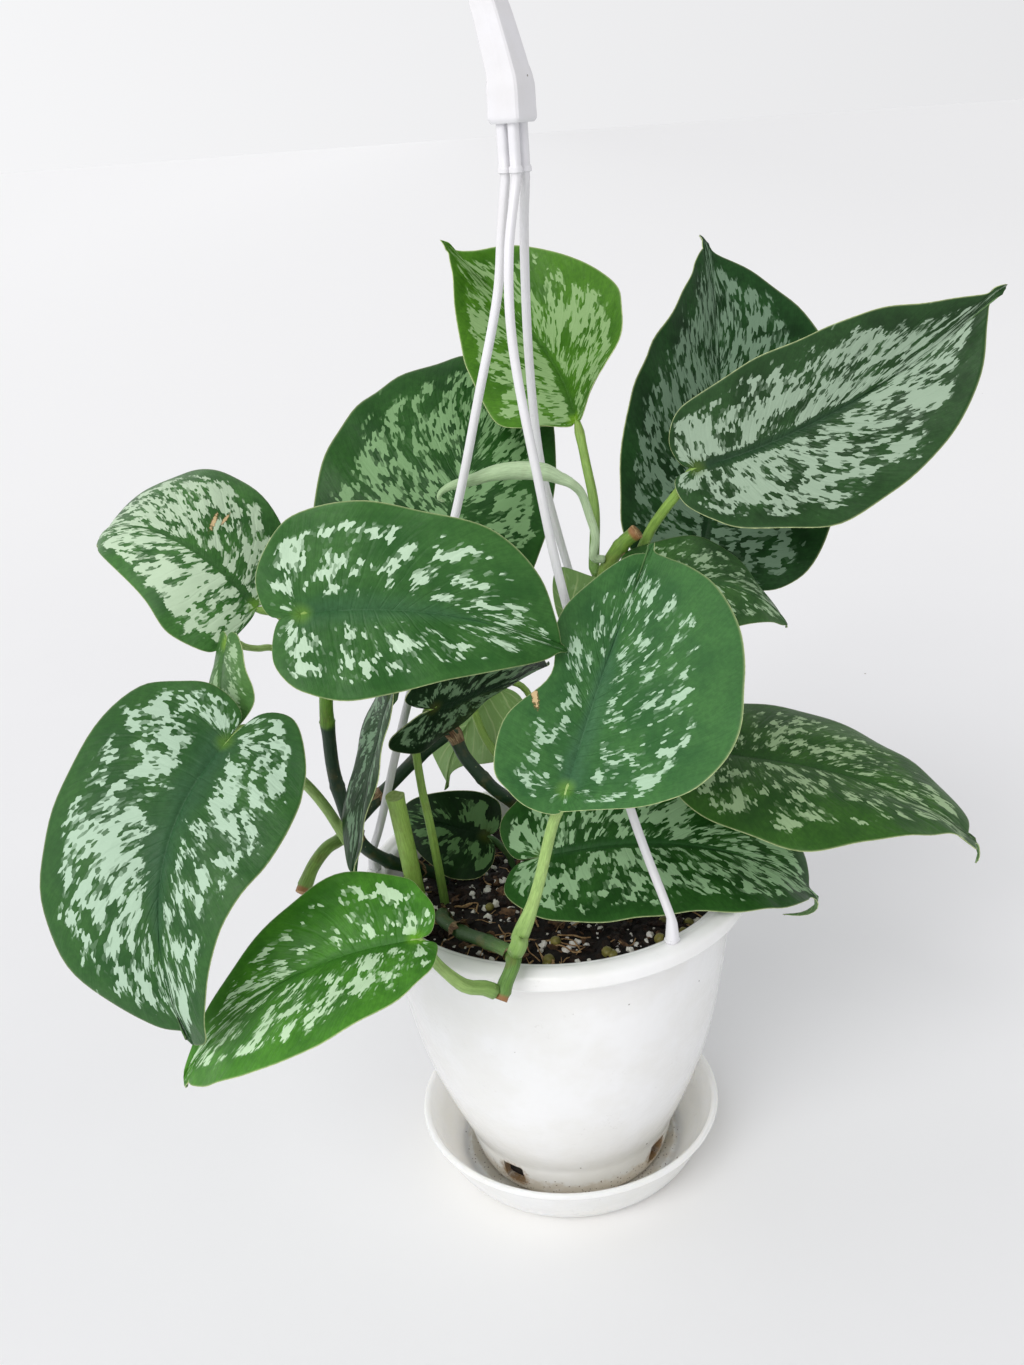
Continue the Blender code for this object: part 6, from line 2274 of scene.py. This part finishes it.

# Each leaf's colours are set one by one, so besides the leaf's own tone they hold painted light and
# shade: rows for leaves with light shining through them are yellower and lighter, and rows for leaves in
# the shade of others are darker.
LEAF_LOOKS: Mapping[str, tuple[LeafFinish, StemFinish]] = {
    "leaf_front": (LeafFinish(1.0, shade(51, 100, 51), shade(69, 120, 61), shade(78, 118, 92),
        shade(190, 222, 191), cover=0.4, rib_width=0.08, margin_width=0.17,
        scars=(Scar((-19.4, 27.0), 119.0, 8.0, 1.8),)), FRESH),
    "leaf_middle_left": (LeafFinish(2.3, shade(43, 93, 36), shade(62, 111, 49), shade(62, 105, 73),
        shade(206, 234, 203), cover=0.43, rib_width=0.11), STALK),
    "leaf_left_large": (LeafFinish(3.1, shade(39, 85, 36), shade(55, 102, 44), shade(57, 95, 70),
        shade(192, 221, 194), cover=0.5, rib_width=0.12), FRESH),
    # Yellower and lighter with painted light shining through the leaf.
    "leaf_left_low": (LeafFinish(4.7, shade(53, 114, 25), shade(77, 142, 38), shade(63, 123, 44),
        shade(214, 246, 203), cover=0.43, rib_width=0.07), FRESH),
    "leaf_left_high": (LeafFinish(5.2, shade(45, 93, 37), shade(69, 121, 53), shade(58, 96, 50),
        shade(205, 229, 196), cover=0.56, rib_width=0.03,
        scars=(Scar((15.4, 31.4), 15.0, 8.0, 1.4), Scar((19.5, 29.0), 5.0, 6.0, 1.0))), STALK),
    "leaf_left_small": (LeafFinish(6.0, shade(58, 104, 44), shade(84, 128, 62), shade(70, 112, 60),
        shade(164, 196, 150), cover=0.4, cell=0.6), FRESH),
    "leaf_back": (LeafFinish(7.4, shade(23, 69, 16), shade(42, 90, 30), shade(55, 89, 52),
        shade(134, 174, 120), cover=0.52, rib_width=0.03, cell=1.0), STALK),
    # Yellower and lighter with painted light shining through the leaf.
    "leaf_top": (LeafFinish(8.9, shade(53, 104, 7), shade(78, 131, 26), shade(70, 114, 48),
        shade(154, 189, 127), under=shade(110, 150, 62), cover=0.55, rib_width=0.05, cell=1.0), STALK),
    "leaf_right_back": (LeafFinish(9.5, shade(17, 50, 18), shade(36, 76, 34), shade(36, 66, 42),
        shade(122, 150, 124), cover=0.54, rib_width=0.03, cell=1.0, gloss=0.14), DARK_STALK),
    "leaf_right_high": (LeafFinish(10.2, shade(28, 60, 24), shade(44, 81, 38), shade(44, 73, 52),
        shade(168, 191, 166), cover=0.54, rib_width=0.05), STALK),
    "leaf_curled": (LeafFinish(11.8, shade(41, 81, 33), shade(65, 107, 50), shade(58, 96, 58),
        shade(168, 198, 157), cover=0.44, rib_width=0.05), DARK_STALK),
    "leaf_right_low": (LeafFinish(12.6, shade(35, 80, 20), shade(57, 104, 32), shade(52, 91, 45),
        shade(174, 204, 155), cover=0.42, rib_width=0.05), STALK),
    "leaf_over_soil": (LeafFinish(13.3, shade(29, 72, 22), shade(50, 98, 38), shade(45, 90, 46),
        shade(166, 204, 156), cover=0.5, rib_width=0.04, cell=1.0, gloss=0.18), STALK),
    "leaf_low_dark": (LeafFinish(14.1, shade(12, 36, 10), shade(25, 55, 20), shade(31, 52, 33),
        shade(98, 136, 84), cover=0.46, cell=1.0, gloss=0.1), DARK_STALK),
    # Darker with painted shade from the leaves over it.
    "leaf_under_middle": (LeafFinish(15.9, shade(15, 36, 16), shade(28, 52, 26), shade(33, 55, 38),
        shade(118, 148, 112), under=shade(44, 76, 42), cover=0.5, gloss=0.1), STALK),
    "leaf_narrow": (LeafFinish(16.4, shade(22, 59, 22), shade(39, 81, 35), shade(45, 70, 48),
        shade(134, 168, 134), cover=0.5, gloss=0.18), DARK_STALK),
    "leaf_turned": (LeafFinish(17.7, shade(50, 88, 40), shade(76, 116, 54), shade(66, 100, 56),
        shade(150, 176, 130), under=shade(96, 132, 66), cover=0.4), STALK),
    "leaf_pale_back": (LeafFinish(18.2, shade(66, 108, 40), shade(98, 142, 60), shade(90, 128, 66),
        shade(150, 186, 120), under=shade(120, 158, 84), cover=0.4), STALK),
}
SHEATHS: Mapping[str, float] = {"leaf_front": 0.38, "leaf_left_low": 0.22}
LEAF_SLOTS: Mapping[str, str] = {"leaf_low_dark": "dark_leaf", "leaf_under_middle": "dark_leaf",
    "leaf_right_back": "dark_leaf", "leaf_pale_back": "pale_leaf", "leaf_top": "pale_leaf"}
LEAF_DENTS: Mapping[str, tuple[Dent, ...]] = {"leaf_front": ((0, 0.47, 0.26, 0.05),)}

STEM_LOOKS: Mapping[str, StemFinish] = {
    "stem_over_rim": StemFinish(shade(56, 88, 44), shade(104, 146, 66), 1.3, girth=17.0,
        fade=(62.0, 96.0)),
    "stem_middle": StemFinish(shade(28, 58, 32), shade(128, 164, 78), 2.1, blotch=0.25, girth=17.0,
        fade=(158.0, 172.0)),
    "stem_left": StemFinish(shade(30, 60, 38), shade(112, 158, 54), 3.6, blotch=0.25, girth=17.0,
        fade=(116.0, 121.0)),
    "stem_right": StemFinish(shade(58, 92, 46), shade(120, 156, 62), 4.4, blotch=0.25, girth=17.0,
        fade=(70.0, 130.0)),
}


def build_part() -> None:
    """Makes every piece of the plant, the pot and the hanger."""
    plastic = PlasticFinish(shade(233, 232, 236), rough=0.3, dirt=0.08)
    Saucer(PlasticFinish(shade(253, 251, 243), rough=0.32, dirt=0.6, stain=(2.5, 7.0),
        stain_ring=(40.0, 53.0), glow=1.0)).build()
    log.info("saucer")
    Pot(PlasticFinish(shade(249, 249, 249), rough=0.24, dirt=0.6, stain=(6.0, 17.5), glow=0.1,
        notches=NOTCH_ANGLES)).build()
    log.info("pot")
    mix = PottingMix(ground=GrainFinish(shade(9, 6, 4), shade(28, 19, 12), shade(70, 54, 38)),
        bark=GrainFinish(shade(16, 10, 6), shade(52, 33, 20), shade(100, 72, 46), bumps=0.6),
        pale_bark=GrainFinish(shade(66, 46, 30), shade(128, 96, 66), shade(160, 130, 94), bumps=0.5),
        perlite=GrainFinish(shade(226, 222, 212), shade(250, 248, 242), shade(196, 186, 170), rough=0.9),
        prill=GrainFinish(shade(112, 108, 52), shade(150, 142, 74), shade(92, 84, 40), rough=0.5,
        bumps=0.1), fibre=GrainFinish(shade(138, 104, 68), shade(206, 174, 128), shade(96, 70, 46)))
    mix.build()
    log.info("potting mix")
    for rod in RODS:
        HangerRod(rod, plastic).build()
    HangerHead(plastic).build()
    log.info("hanger")
    for number, stem in enumerate(STEMS):
        Stem(stem, STEM_LOOKS[stem.name]).build(number)
        log.info("%s", stem.name)
    for number, sizes in enumerate(LEAVES):
        finish, stalk = LEAF_LOOKS[sizes.name]
        Leaf(sizes, finish, stalk, sheath=SHEATHS.get(sizes.name, 0.0),
            dents=LEAF_DENTS.get(sizes.name, ()), slot=LEAF_SLOTS.get(sizes.name,
            "satin_leaf")).build(number)
        log.info("%s", sizes.name)
    RolledLeaf(StemFinish(shade(166, 196, 146), shade(196, 220, 178), 5.0, blotch=0.1, girth=18.0,
        fade=(0.0, 60.0)), FRESH).build()
    CutStalk(StemFinish(shade(132, 178, 66), shade(172, 210, 104), 6.0, blotch=0.15, girth=20.0),
        GrainFinish(shade(150, 178, 96), shade(188, 206, 130), shade(120, 110, 70), scale=1.4, rough=0.7,
        bumps=0.2)).build()
    log.info("rolled leaf and cut stalk")


def main() -> None:
    """Loads the frame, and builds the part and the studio."""
    logging.basicConfig(level=logging.INFO, format="%(name)s: %(message)s")
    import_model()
    build_part()
    Studio().build()
    bpy.context.view_layer.update()
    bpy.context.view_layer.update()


if __name__ == "__main__":
    main()
